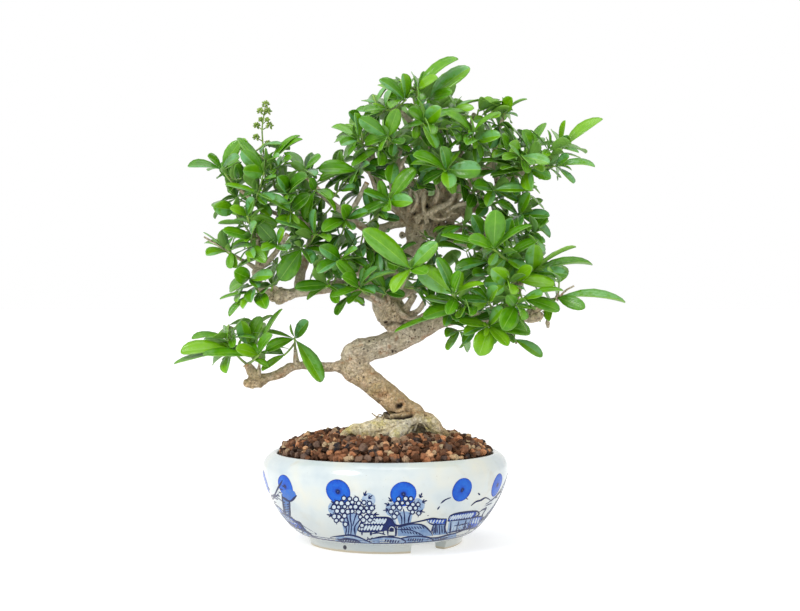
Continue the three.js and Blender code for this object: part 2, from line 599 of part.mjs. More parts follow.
// The flower stem, [x, z], and the bud clusters on it, [x, z, size], all at one depth
const bloomDepth = -14;
const bloomStem = [[-106, 276], [-99, 290], [-100, 318], [-99.5, 345], [-98, 357]];
const bloomBuds = [[-98, 359, 3.2], [-104, 352, 2.9], [-94, 352, 2.9], [-101, 346, 2.6], [-106, 340, 3],
  [-94, 339, 3], [-106.5, 329, 2.8], [-94, 325, 2.8], [-104, 334, 2.4], [-95, 332, 2.4]];

function bloomPieces(extra) {
  const place = ([x, z], depth) => seen(x, z, bloomDepth + depth);
  const stem = bloomStem.map((p, i) => ({ point: place(p, 0), radius: 1.6 - 0.15 * i }));
  const pieces = [taperedTube(stem, 4, extra)];
  bloomBuds.forEach(([x, z, size], i) => {
    const depth = i === 0 ? 0 : 4 * Math.cos(i * 2.4);
    const centre = place([x, z], depth);
    const ball = new THREE.OctahedronGeometry(size + extra, 0);
    ball.scale(0.85, 0.85, 1.15);
    ball.translate(...centre.toArray());
    pieces.push(solidOf(ball));
    if (i === 0) return;
    const root = place([-99.5, z - 5], 0);
    const stalk = [{ point: root, radius: 0.9 }, { point: centre, radius: 0.8 }];
    pieces.push(taperedTube(stalk, 3, extra));
  });
  return pieces;
}

// The pot: outlines are [radius, height].
const floorTop = 15;
const potOuter = [[64, 6.8], [71, 9.5], [82, 19.8], [92.5, 36], [98.2, 50], [potRadius, 60.5],
  [98.4, 67], [94.6, 71.4], [89.8, potHeight]];
const potInner = [[mouthRadius, 71.4], [88.6, 67.5], [91.2, 60], [89.6, 47.5], [82.6, 33.5],
  [71.5, 21], [54, floorTop]];
const footOuter = 62.5;
const footInner = 53;
const footTop = 7.4;
const footFlare = 2; // wider at its top
const footGapHalfWidth = 15; // degrees
const footGapAngles = [34, 154, 274]; // from the front, towards +X
const drainRadius = 9;
const drainSegments = 16;
const drainPlaces = [[-26, 8], [34, -6]];
const screenSize = 30;
const screenThickness = 1.2;
const gravelFloor = potInner[2][1];

function latheSolid(outline, segments) {
  const profile = outline.map(([r, z]) => new THREE.Vector2(r, z));
  return solidOf(new THREE.LatheGeometry(profile, segments).rotateX(Math.PI / 2));
}

function potSolid() {
  let pot = latheSolid([[0, potOuter[0][1]], ...potOuter, ...potInner, [0, floorTop]], potSegments);
  const ring = latheSolid(
    [[footInner, 0], [footOuter, 0], [footOuter + footFlare, footTop], [footInner, footTop], [footInner, 0]],
    potSegments,
  );
  const gaps = footGapAngles.map((angle) => {
    const reach = 1.2 * footOuter;
    const half = reach * Math.tan(THREE.MathUtils.degToRad(footGapHalfWidth));
    const wedge = new THREE.Shape([
      new THREE.Vector2(0, 0),
      new THREE.Vector2(half, -reach),
      new THREE.Vector2(-half, -reach),
    ]);
    const block = new THREE.ExtrudeGeometry(wedge, { depth: 2 * footTop, bevelEnabled: false });
    block.translate(0, 0, -footTop / 2);
    return solidOf(block.rotateZ(THREE.MathUtils.degToRad(angle)));
  });
  const feet = gaps.reduce((solid, wedge) => solid.subtract(wedge), ring);
  pot = pot.add(feet);
  for (const [x, y] of drainPlaces) {
    const rod = new THREE.CylinderGeometry(drainRadius, drainRadius, 2 * floorTop, drainSegments);
    pot = pot.subtract(solidOf(rod.rotateX(Math.PI / 2).translate(x, y, floorTop)));
  }
  return pot;
}

// A square mesh of plastic bars over a drainage hole
const screenBars = 3;
const screenBar = 2.4;
function screenSolid([x, y]) {
  const height = floorTop + gap + screenThickness / 2;
  const bars = [];
  for (let i = 0; i < screenBars; i++) {
    const place = (i / (screenBars - 1) - 0.5) * (screenSize - screenBar);
    const rail = new THREE.BoxGeometry(screenSize, screenBar, screenThickness);
    bars.push(solidOf(rail.clone().translate(x, y + place, height)));
    bars.push(solidOf(rail.rotateZ(Math.PI / 2).translate(x + place, y, height)));
  }
  return wasm.Manifold.union(bars);
}

function soilSolid(woodRoom) {
  const wall = potInner
    .filter(([, z]) => z <= gravelFloor)
    .map(([r, z]) => [r - gap - 0.2, Math.min(z + gap, gravelFloor - gap)])
    .reverse();
  let soil = latheSolid([[0, floorTop + gap], ...wall, [0, gravelFloor - gap]], potSegments);
  const room = screenSize + 2 * gap;
  for (const [x, y] of drainPlaces) {
    const pocket = new THREE.BoxGeometry(room, room, 2 * (screenThickness + 2 * gap));
    soil = soil.subtract(solidOf(pocket.translate(x, y, floorTop + gap)));
  }
  return soil.subtract(woodRoom);
}

// The gravel's surface: a mound that rises from the pot's lip to the foot of the trunk
const gravelRadius = 87.2;
const gravelRings = 10;
const gravelEdge = 73;
const moundRise = 15.5;
const trunkRise = 5;
const trunkRiseWidth = 32;
const trunkFoot = [6, 10];
const stoneLift = 1.5;
const stoneShift = 2;
function moundHeight(x, y) {
  const share = Math.hypot(x, y) / gravelRadius;
  const toTrunk = Math.hypot(x - trunkFoot[0], y - trunkFoot[1]);
  const mound = moundRise * (1 - share ** 4);
  return gravelEdge + mound + trunkRise * Math.exp(-((toTrunk / trunkRiseWidth) ** 2));
}

function gravelSolid(woodRoom) {
  const points = [new Vector3(0, 0, moundHeight(0, 0))];
  const triangles = [];
  const index = (ring, k) => (ring === 0 ? 0 : 1 + 3 * ring * (ring - 1) + (k % (6 * ring)));
  for (let ring = 1; ring <= gravelRings; ring++) {
    const free = ring < gravelRings ? 1 : 0;
    for (let k = 0; k < 6 * ring; k++) {
      const shift = free * stoneShift;
      const radius = (gravelRadius * ring) / gravelRings + stoneDraw(-shift, shift);
      const angle = (2 * Math.PI * k) / (6 * ring) + stoneDraw(-shift, shift) / radius;
      const x = radius * Math.cos(angle);
      const y = radius * Math.sin(angle);
      const lift = stoneDraw(-stoneLift, stoneLift) * (free || 0.4);
      points.push(new Vector3(x, y, moundHeight(x, y) + lift));
    }
    for (let sector = 0; sector < 6; sector++) {
      for (let k = 0; k < ring; k++) {
        const outer = index(ring, sector * ring + k);
        const next = index(ring, sector * ring + k + 1);
        const inner = index(ring - 1, sector * (ring - 1) + k);
        triangles.push([outer, next, inner]);
        if (k === ring - 1) continue;
        triangles.push([next, index(ring - 1, sector * (ring - 1) + k + 1), inner]);
      }
    }
  }
  const rim = 6 * gravelRings;
  const first = index(gravelRings, 0);
  const below = points.length;
  for (let k = 0; k < rim; k++) {
    const { x, y } = points[first + k];
    points.push(new Vector3(x, y, gravelFloor));
  }
  points.push(new Vector3(0, 0, gravelFloor));
  for (let k = 0; k < rim; k++) {
    const next = (k + 1) % rim;
    triangles.push([first + k, below + k, below + next], [first + k, below + next, first + next]);
    triangles.push([below + k, below + rim, below + next]);
  }
  return solidFrom(points, triangles).subtract(woodRoom);
}

// The whole tree
const group = new THREE.Group();
function addNode(name, solid, material) {
  const mesh = new THREE.Mesh(geometryOf(solid), material.clone());
  mesh.name = name;
  group.add(mesh);
}

const wood = woodSolid(0);
const woodRoom = woodSolid(gap);
addNode("pot", potSolid(), finishes.porcelain);
drainPlaces.forEach((place, i) => addNode(`drain_screen_${i + 1}`, screenSolid(place), finishes.plastic));
addNode("soil", soilSolid(woodRoom), finishes.soil);
addNode("gravel", gravelSolid(woodRoom), finishes.gravel);
addNode("trunk", wood, finishes.bark);

// What has grown already: each spray is cut clear of it.
const grown = [{ room: wasm.Manifold.union(bloomPieces(gap)) }];
grown[0].box = grown[0].room.boundingBox();
addNode("flower_panicle", biggest(wasm.Manifold.union(bloomPieces(0)).subtract(woodRoom)), finishes.bud);

const grownSprays = sprays.map((spray) => ({ spray, stems: stemsOf(spray) }));
for (const { spray, stems } of grownSprays) {
  for (const stem of stems) addRods(stem, spray.name);
}

function boxesMeet(a, b) {
  return a.min.every((low, i) => low <= b.max[i] && b.min[i] <= a.max[i]);
}

for (const { spray, stems } of grownSprays) {
  const leaves = spray.shoots.flatMap((shoot, i) => leavesOf(spray, shoot, stems[i]));
  const build = (extra) =>
    wasm.Manifold.union([
      ...stems.map((stem) => taperedTube(stem, stemSides, extra)),
      ...leaves.map((leaf) => bladeSolid(leaf, extra)),
    ]);
  let solid = build(0).subtract(woodRoom);
  const box = solid.boundingBox();
  for (const other of grown) {
    if (boxesMeet(box, other.box)) solid = solid.subtract(other.room);
  }
  addNode(spray.name, biggest(solid), finishes.leaf);
  const room = build(gap);
  grown.push({ room, box: room.boundingBox() });
}

// The origin is under the middle of the whole tree's box, on the table.
const box = new THREE.Box3().setFromObject(group);
group.position.set(-(box.min.x + box.max.x) / 2, -(box.min.y + box.max.y) / 2, -box.min.z);

export default group;
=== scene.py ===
import math
from itertools import pairwise

import bpy
import numpy as np
from mathutils import Matrix, Vector, geometry, noise
from numpy.linalg import norm


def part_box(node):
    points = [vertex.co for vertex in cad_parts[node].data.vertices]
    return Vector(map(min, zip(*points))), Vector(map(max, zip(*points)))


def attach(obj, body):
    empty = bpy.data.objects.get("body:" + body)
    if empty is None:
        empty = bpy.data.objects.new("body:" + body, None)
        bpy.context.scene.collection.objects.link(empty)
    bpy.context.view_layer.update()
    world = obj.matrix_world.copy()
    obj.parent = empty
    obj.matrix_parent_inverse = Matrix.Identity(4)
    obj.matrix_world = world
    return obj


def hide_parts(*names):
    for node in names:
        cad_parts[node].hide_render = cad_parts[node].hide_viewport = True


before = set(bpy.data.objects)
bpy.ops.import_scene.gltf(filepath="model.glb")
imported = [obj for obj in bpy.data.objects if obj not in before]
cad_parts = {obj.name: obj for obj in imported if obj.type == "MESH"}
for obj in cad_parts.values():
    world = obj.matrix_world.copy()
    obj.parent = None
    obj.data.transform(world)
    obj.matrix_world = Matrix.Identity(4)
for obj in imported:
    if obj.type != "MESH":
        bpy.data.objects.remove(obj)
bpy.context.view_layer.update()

mm = 0.001
farAway = 1e9

# The tree's own millimetres: x = 0 and depth = 0 on the pot's axis, z = 0 on the table
potLow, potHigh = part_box("pot")
potAxis = Vector(((potLow.x + potHigh.x) / 2, (potLow.y + potHigh.y) / 2, potLow.z))
fromTree = Matrix.Translation(potAxis) @ Matrix.Scale(mm, 4)

view = {"distance": 1150, "eyeHeight": 192, "eyeSide": 12, "lens": 63.4, "sensor": 36}


def seen(x, z, depth):  # the real place of what shows at x, z from the front
    spread = 1 + depth / view["distance"]
    return Vector((
        view["eyeSide"] + (x - view["eyeSide"]) * spread,
        depth,
        view["eyeHeight"] + (z - view["eyeHeight"]) * spread,
    ))


def shownAt(place):  # the x and z at which a place, or rows of places, show from the front
    spread = 1 + place[1] / view["distance"]
    return [view[eye] + (place[k] - view[eye]) / spread for eye, k in (("eyeSide", 0), ("eyeHeight", 2))]


def seededDraw(seed):  # a draw between two values that is the same on every run
    state = seed

    def draw(low, high):
        nonlocal state
        state = (state * 48271) % 2147483647
        return low + (high - low) * state / 2147483647

    return draw


# Small tools for modelling
def takeUp(*pieces):
    bpy.ops.object.select_all(action="DESELECT")
    for piece in pieces:
        piece.select_set(True)
    bpy.context.view_layer.objects.active = pieces[0]


def named(piece, name):
    piece.name = name
    piece.data.name = name
    return piece


def finishWith(piece, kind, **settings):
    takeUp(piece)
    bpy.ops.object.modifier_add(type=kind)
    modifier = piece.modifiers[-1]
    for setting, value in settings.items():
        setattr(modifier, setting, value)
    bpy.ops.object.modifier_apply(modifier=modifier.name)


def drop(*pieces):
    for piece in pieces:
        bpy.data.objects.remove(piece)


def carve(piece, operation, tool):  # join a second solid to a piece, or cut it away
    finishWith(piece, "BOOLEAN", operation=operation, solver="EXACT", object=tool)
    drop(tool)


def joinAs(name, pieces):
    takeUp(*pieces)
    if len(pieces) > 1:
        bpy.ops.object.join()
    return named(pieces[0], name)


def editDone():
    bpy.ops.object.mode_set(mode="OBJECT")


def pick(piece, wanted):  # select the vertices with a true flag, and go on in edit mode
    editDone()
    mesh = piece.data
    for part in (mesh.polygons, mesh.edges):
        part.foreach_set("select", [False] * len(part))
    mesh.vertices.foreach_set("select", [bool(flag) for flag in wanted])
    bpy.ops.object.mode_set(mode="EDIT")


def editAll():
    bpy.ops.object.mode_set(mode="EDIT")
    bpy.ops.mesh.select_all(action="SELECT")


def spinRound(steps, angle, seam):  # turns the active outline round the pot's axis and closes its seams
    editAll()
    bpy.ops.mesh.spin(steps=steps, angle=angle, center=potAxis, axis=(0, 0, 1))
    bpy.ops.mesh.select_all(action="SELECT")
    bpy.ops.mesh.remove_doubles(threshold=seam * mm)
    bpy.ops.mesh.normals_make_consistent(inside=False)
    editDone()


def turnRound(piece, degrees):
    turn = Matrix.Rotation(math.radians(degrees), 4, "Z")
    piece.data.transform(Matrix.Translation(potAxis) @ turn @ Matrix.Translation(-potAxis))


def smooth(piece, angle=math.pi):
    takeUp(piece)
    if angle < math.pi:
        bpy.ops.object.shade_smooth_by_angle(angle=angle)
    else:
        bpy.ops.object.shade_smooth()


def placesOf(piece, what="co"):  # of each vertex, or its normal
    rows = np.empty(len(piece.data.vertices) * 3, np.float32)
    piece.data.vertices.foreach_get(what, rows)
    return rows.reshape(-1, 3)


def movePlaces(piece, places):
    piece.data.vertices.foreach_set("co", np.asarray(places, np.float32).ravel())
    piece.data.update()


def setValues(piece, name, values):  # one number for each vertex or for all, which a finish can read
    made = piece.data.attributes.get(name) or piece.data.attributes.new(name, "FLOAT", "POINT")
    made.data.foreach_set("value", np.zeros(len(piece.data.vertices), np.float32) + np.asarray(values, np.float32))


def dress(piece, material):
    piece.data.materials.clear()
    piece.data.materials.append(material)


def handIn(piece, node=None):
    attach(piece, "root")
    if node:
        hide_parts(node)


def copyOf(piece, name):  # a copy with its own mesh
    made = bpy.data.objects.new(name, piece.data.copy())
    bpy.context.scene.collection.objects.link(made)
    return made


def curveThrough(places, steps, corners=()):  # places in tree millimetres, smooth but for the corners
    bpy.ops.curve.primitive_bezier_curve_add()
    curve = bpy.context.object
    points = curve.data.splines[0].bezier_points
    points.add(len(places) - 2)
    for k, (point, place) in enumerate(zip(points, places)):
        point.co = fromTree @ place
        point.handle_left_type = point.handle_right_type = "VECTOR" if k in corners else "AUTO"
    curve.data.resolution_u = steps
    return curve


def asMesh(curve, name):
    takeUp(curve)
    bpy.ops.object.convert(target="MESH")
    return named(bpy.context.object, name)


def tubeAlong(name, stations, bevel, steps=3):  # stations are (place, radius), bevel sets the number of sides
    tube = curveThrough([place for place, _ in stations], steps)
    for point, (_, radius) in zip(tube.data.splines[0].bezier_points, stations):
        point.radius = radius
    tube.data.bevel_depth = mm
    tube.data.bevel_resolution = bevel
    tube.data.use_fill_caps = True
    return asMesh(tube, name)


# Finishes
def shade(red, green, blue):  # from the 0 to 255 of a colour picker
    def linear(value):
        share = value / 255
        return share / 12.92 if share <= 0.04045 else ((share + 0.055) / 1.055) ** 2.4

    return (linear(red), linear(green), linear(blue), 1)


class Wire:  # a socket that can stand in sums
    def __init__(self, finish, socket):
        self.finish = finish
        self.socket = socket

    def sum(self, operation, *values):
        return self.finish.node("ShaderNodeMath", {"operation": operation}, values)

    def __add__(self, other):
        return self.sum("ADD", self, other)

    __radd__ = __add__

    def __sub__(self, other):
        return self.sum("SUBTRACT", self, other)

    def __rsub__(self, other):
        return self.sum("SUBTRACT", other, self)

    def __mul__(self, other):
        return self.sum("MULTIPLY", self, other)

    __rmul__ = __mul__

    def __pow__(self, other):
        return self.sum("POWER", self, other)

    def __abs__(self):
        return self.sum("ABSOLUTE", self)

    def wave(self):
        return self.sum("SINE", self)

    def between(self, low, high):  # 0 below low, 1 above high, smooth between them
        settings = {"interpolation_type": "SMOOTHSTEP"}
        return self.finish.node("ShaderNodeMapRange", settings, {0: self, 1: low, 2: high})


class Finish:
    def __init__(self, name, fixed):
        self.material = bpy.data.materials.new(name)
        self.material.use_nodes = True
        self.tree = self.material.node_tree
        self.shader = self.tree.nodes["Principled BSDF"]
        for socket, value in fixed.items():
            self.shader.inputs[socket].default_value = value

    def node(self, kind, settings=None, inputs=(), output=0):
        made = self.tree.nodes.new(kind)
        for setting, value in (settings or {}).items():
            if setting == "stops":
                self.setStops(made.color_ramp, value)
            else:
                setattr(made, setting, value)
        pairs = inputs.items() if isinstance(inputs, dict) else enumerate(inputs)
        for place, value in pairs:
            if isinstance(value, Wire):
                self.tree.links.new(value.socket, made.inputs[place])
            else:
                made.inputs[place].default_value = value
        return Wire(self, made.outputs[output])

    def setStops(self, ramp, stops):
        while len(ramp.elements) < len(stops):
            ramp.elements.new(0.5)
        for element, (position, colour) in zip(ramp.elements, stops):
            element.position = position
            element.color = shade(*colour)

    def place(self):
        return self.node("ShaderNodeTexCoord", output="Object")

    def part(self, wire, axis):
        return self.node("ShaderNodeSeparateXYZ", {}, [wire], output=axis)

    def noise(self, size, detail=3, rough=0.55):  # size in metres
        inputs = {"Vector": self.place(), "Scale": 1 / size, "Detail": detail, "Roughness": rough}
        return self.node("ShaderNodeTexNoise", {}, inputs)

    def cells(self, size):
        return self.node("ShaderNodeTexVoronoi", {}, {"Vector": self.place(), "Scale": 1 / size}, "Distance")

    def value(self, attribute):
        return self.node("ShaderNodeAttribute", {"attribute_name": attribute}, (), "Fac")

    def ramp(self, wire, *stops):
        return self.node("ShaderNodeValToRGB", {"stops": stops}, [wire])

    def mix(self, factor, first, second):
        return self.node("ShaderNodeMix", {"data_type": "RGBA"}, {0: factor, 6: first, 7: second}, output=2)

    def layers(self, colour, *rows):  # colours laid over one another, each with its factor
        for factor, over in rows:
            colour = self.mix(factor, colour, over if isinstance(over, Wire) else shade(*over))
        return colour

    def bump(self, height, distance, strength):
        return self.node("ShaderNodeBump", {}, {"Height": height, "Distance": distance, "Strength": strength})

    def ready(self, colour, roughness=None, relief=None):  # relief is (height, distance, strength)
        wires = {"Base Color": colour, "Roughness": roughness, "Normal": relief and self.bump(*relief)}
        for socket, wire in wires.items():
            if wire:
                self.tree.links.new(wire.socket, self.shader.inputs[socket])
        return self.material


def leafFinishMade():
    made = Finish("privet_leaf", {"Specular IOR Level": 0.5})
    flat = made.node("ShaderNodeTexCoord", output="UV")
    along, across = made.part(flat, 0), made.part(flat, 1)
    side = abs(across - 0.5) * 2
    # tone carries each leaf's random tone and the painted shade of the crown's core
    tone = made.value("tone")
    youth = made.value("youth")
    under = made.value("under")
    patches = made.noise(0.006)
    light = tone * 0.9 + patches * 0.6 - 0.2
    grown = made.ramp(light, (0, (4, 40, 0)), (0.3, (30, 88, 0)), (0.65, (70, 134, 0)), (1, (112, 168, 8)))
    # Painted sheen: a bluish-white highlight laid into the colour on one half of some leaves
    sky = across.between(0.49, 0.54) * (tone * 17).wave().between(-0.2, 0.6) * patches.between(0.3, 0.55)
    veins = abs((along * 46 - side * 9 + patches * 1.6).wave()) ** 0.5
    veinLine = 1 - veins.between(0.12, 0.42)
    midrib = 1 - side.between(0.015, 0.07)
    rim = side.between(0.9, 1)
    colour = made.layers(grown, (youth, (136, 190, 22)), (sky * 0.5, (112, 172, 128)),
        (veinLine * 0.16, (120, 176, 50)), (midrib * 0.45, (150, 196, 80)), (rim * 0.35, (150, 190, 80)),
        (under * 0.5, (130, 168, 86)))
    return made.ready(colour, made.noise(0.004) * 0.14 + 0.15 + under * 0.3,
        (veins * 0.4 + midrib * -0.5 + made.noise(0.0012) * 0.25, 0.0003, 0.6))


def stemFinishMade():
    made = Finish("green_stem", {"Roughness": 0.5})
    tone = made.value("tone")
    colour = made.ramp(tone + made.noise(0.01) * 0.3 - 0.15, (0, (120, 122, 78)),
        (0.45, (122, 150, 70)), (1, (150, 188, 74)))
    speck = made.noise(0.0009, detail=1).between(0.62, 0.7)
    colour = made.layers(colour, (speck * 0.35, (190, 196, 150)))
    return made.ready(colour, relief=(made.noise(0.002), 0.0002, 0.5))


def barkFinishMade():
    made = Finish("privet_bark", {"Specular IOR Level": 0.3})
    height = made.part(made.place(), 2)
    broad = made.noise(0.02, detail=4)
    fine = made.noise(0.0032, detail=5, rough=0.75)
    grain = made.noise(0.0014, rough=0.75)
    mottle = broad * 0.4 + fine * 0.6 + grain * 0.35 - 0.18
    tan = made.ramp(mottle, (0.26, (146, 112, 74)), (0.42, (192, 158, 114)), (0.56, (214, 186, 146)),
        (0.74, (226, 210, 184)))
    grey = made.ramp(mottle, (0.26, (158, 140, 116)), (0.42, (202, 188, 164)), (0.56, (224, 213, 192)),
        (0.74, (240, 232, 218)))
    upper = (height + broad * 0.03).between(0.135, 0.175)
    rust = made.noise(0.009, detail=4, rough=0.65).between(0.54, 0.66)
    moss = made.noise(0.013, detail=4, rough=0.65).between(0.47, 0.62) * (1 - height.between(0.1, 0.19))
    cream = made.value("flare")
    flareTone = made.ramp(fine * 0.6 + broad * 0.5, (0.36, (206, 186, 132)), (0.5, (242, 230, 190)),
        (0.64, (244, 238, 222)))
    yellow = made.noise(0.011).between(0.5, 0.64) * cream
    gnarled = made.value("gnarled")
    pitted = gnarled * made.noise(0.0036, detail=4, rough=0.7).between(0.53, 0.6)
    pores = (1 - made.cells(0.0034).between(0.12, 0.26)) * made.noise(0.007, detail=2).between(0.42, 0.56)
    cracks = 1 - abs(made.noise(0.0034, detail=5, rough=0.7) - 0.5).between(0.004, 0.03)
    pale = grain.between(0.58, 0.68)
    # The last layer darkens the bark with painted shade in its dents, folds, crevices and scars
    colour = made.layers(tan, (upper * 0.85, grey), (rust * 0.5, (178, 118, 68)),
        (moss * 0.36, (156, 150, 84)), (cream * 0.85, flareTone), (yellow * 0.55, (222, 206, 100)),
        (gnarled * (1 - grain.between(0.4, 0.6) * 0.5) * 0.75, (218, 196, 152)), (pitted * 0.65, (76, 56, 36)),
        (pores * 0.8, (86, 58, 36)), (cracks * 0.32, (104, 78, 50)), (pale * 0.4, (230, 224, 208)),
        (made.value("dent").between(0.12, 0.9), (44, 32, 22)))
    return made.ready(colour, fine * 0.25 + 0.55,
        (broad + fine * 0.9 + grain * 0.5 - pores * 0.5 - cracks * 0.35, 0.0016, 0.9))


def grainyFinish(name, roughness, grain, depth, *stops):  # one noise, in its colours and as its relief
    made = Finish(name, {"Roughness": roughness})
    tint = made.noise(grain)
    return made.ready(made.ramp(tint, *stops), relief=(tint, depth, 0.6))


def stoneFinishMade():
    made = Finish("baked_gravel", {"Specular IOR Level": 0.2})
    stops = [(0, (38, 22, 13)), (0.2, (82, 50, 31)), (0.42, (124, 82, 57)),
        (0.6, (158, 104, 70)), (0.7, (222, 154, 108)), (0.76, (194, 172, 134)),
        (0.87, (154, 122, 100)), (0.96, (44, 40, 44))]
    blotch = made.noise(0.0022, detail=4, rough=0.7)
    pit = made.noise(0.0011, detail=2, rough=0.7).between(0.56, 0.66)
    colour = made.layers(made.ramp(made.value("tone"), *stops),
        (blotch.between(0.45, 0.75) * 0.35, (190, 150, 116)), (pit * 0.55, (52, 34, 30)))
    return made.ready(colour, blotch * 0.2 + 0.65, (blotch - pit * 0.6, 0.0006, 0.9))


def glazeFinishMade():
    made = Finish("glazed_porcelain", {"Roughness": 0.16, "Coat Weight": 0.35, "Coat Roughness": 0.05})
    side, ahead, height = (made.part(made.place(), k) for k in range(3))
    cloud = made.noise(0.035)
    colour = made.ramp(cloud, (0.3, (180, 192, 198)), (0.5, (196, 204, 204)), (0.72, (208, 208, 196)))
    stain = made.noise(0.02, detail=4).between(0.6, 0.75) * made.noise(0.003)
    # Painted shade: the lower part of the bowl is darker
    low = 1 - height.between(0.012, 0.05)
    speck = made.noise(0.0014, detail=1).between(0.74, 0.79)
    left = side - potAxis.x + 0.0308
    up = height - 0.0041
    drip = 1 - (left * left + up * up * 0.6).between(0.0000012, 0.000003)
    front = 1 - (ahead - potAxis.y).between(-0.01, 0)
    bare = 1 - (height + (made.noise(0.006) - 0.5) * 0.0016).between(0.0014, 0.0022)
    colour = made.layers(colour, (stain * 0.5, (184, 172, 140)), (low * 0.5, (176, 180, 176)),
        (speck * 0.4, (150, 146, 134)), (drip * front, (22, 24, 44)), (bare, (190, 180, 158)))
    return made.ready(colour, bare * 0.55 + 0.14 + stain * 0.2, (made.noise(0.02, detail=1), 0.0005, 0.35))


def paintFinishMade():
    made = Finish("cobalt_painting", {"Roughness": 0.2, "Specular IOR Level": 0.2, "Coat Weight": 0.08})
    ink = made.value("ink")
    pool = made.noise(0.0016)
    broad = made.noise(0.009, detail=2)
    depth = ink + (pool - 0.5) * 0.2 + (broad - 0.5) * 0.22
    colour = made.ramp(depth, (0, (186, 198, 206)), (0.14, (128, 152, 184)), (0.3, (80, 112, 156)),
        (0.44, (20, 98, 196)), (0.58, (6, 70, 178)), (0.7, (4, 32, 96)), (1, (2, 10, 50)))
    return made.ready(colour)


leafFinish = leafFinishMade()
stemFinish = stemFinishMade()
barkFinish = barkFinishMade()
cutWoodFinish = grainyFinish("cut_wood", 0.75, 0.0022, 0.0004,
    (0.25, (150, 112, 72)), (0.55, (192, 154, 108)), (0.8, (212, 184, 142)))
budFinish = grainyFinish("flower_bud", 0.45, 0.003, 0.0002,
    (0.3, (92, 122, 44)), (0.55, (126, 154, 60)), (0.8, (170, 186, 96)))
soilFinish = grainyFinish("potting_soil", 0.9, 0.005, 0.003,
    (0.3, (28, 18, 12)), (0.6, (56, 38, 26)), (0.8, (86, 62, 44)))
screenFinish = grainyFinish("screen_plastic", 0.55, 0.004, 0.0001, (0.3, (24, 24, 26)), (0.75, (48, 48, 50)))
stoneFinish = stoneFinishMade()
glazeFinish = glazeFinishMade()
paintFinish = paintFinishMade()


# The wood: each row of a route is (x, z, depth, radius), x and z as seen from the front
trunkRoutes = {
    "trunkLower": [(24, 50, 0, 6), (26, 68, 0, 11), (27, 88, -3, 12), (25, 101, -2, 9.6), (17, 107.5, -1, 9.6),
        (10, 111.5, -1, 10.4), (-8, 126.5, -2, 10), (-19, 136, -2, 10.3), (-27, 143, -2, 11), (-29, 150, -2, 9.4)],
    "trunkMiddle": [(-31, 145, -2, 8.4), (-25.5, 151, -2, 11.2), (-15, 155.5, -2, 10.2), (0, 160, -1, 9.4),
        (15, 164.8, 0, 9), (30, 172, -3, 7.6), (46, 179, -8, 6.2), (62, 182, -13, 5.4), (80, 182, -18, 4.8),
        (98, 184, -22, 4.2), (114, 183, -26, 3.5), (127, 183, -30, 3.2)],
    "trunkUpper": [(22, 167, 0, 7.4), (13, 176, 1, 9.4), (5, 187, 2, 12.6), (-1, 198, 4, 11.2), (1, 213, 8, 9),
        (11, 228, 9, 7.2), (22.5, 241, 8, 6.8), (25, 251, 7, 9.4), (30, 260, 6, 12), (38, 269, 5, 12.4),
        (52, 275, 5, 8)],
}
rootRoutes = {
    "rootFlare": [(46, 88, -10, 4), (36, 96, -9, 8), (22, 96.5, -12, 9.4), (8, 93, -20, 9.6), (-6, 91.5, -24, 8.6),
        (-18, 90.5, -24, 5.6), (-28, 90.5, -22, 3.4), (-36, 84, -22, 2)],
    "rootFront": [(16, 90, -20, 7.5), (7, 83, -36, 5), (2, 74, -46, 2.4)],
    "rootRight": [(30, 94, -6, 9), (43, 89, -3, 6), (54, 80, -3, 4), (62, 70, -6, 2)],
    "rootBack": [(26, 88, 4, 11), (34, 84, 22, 7), (38, 74, 36, 4), (40, 66, 42, 2)],
}
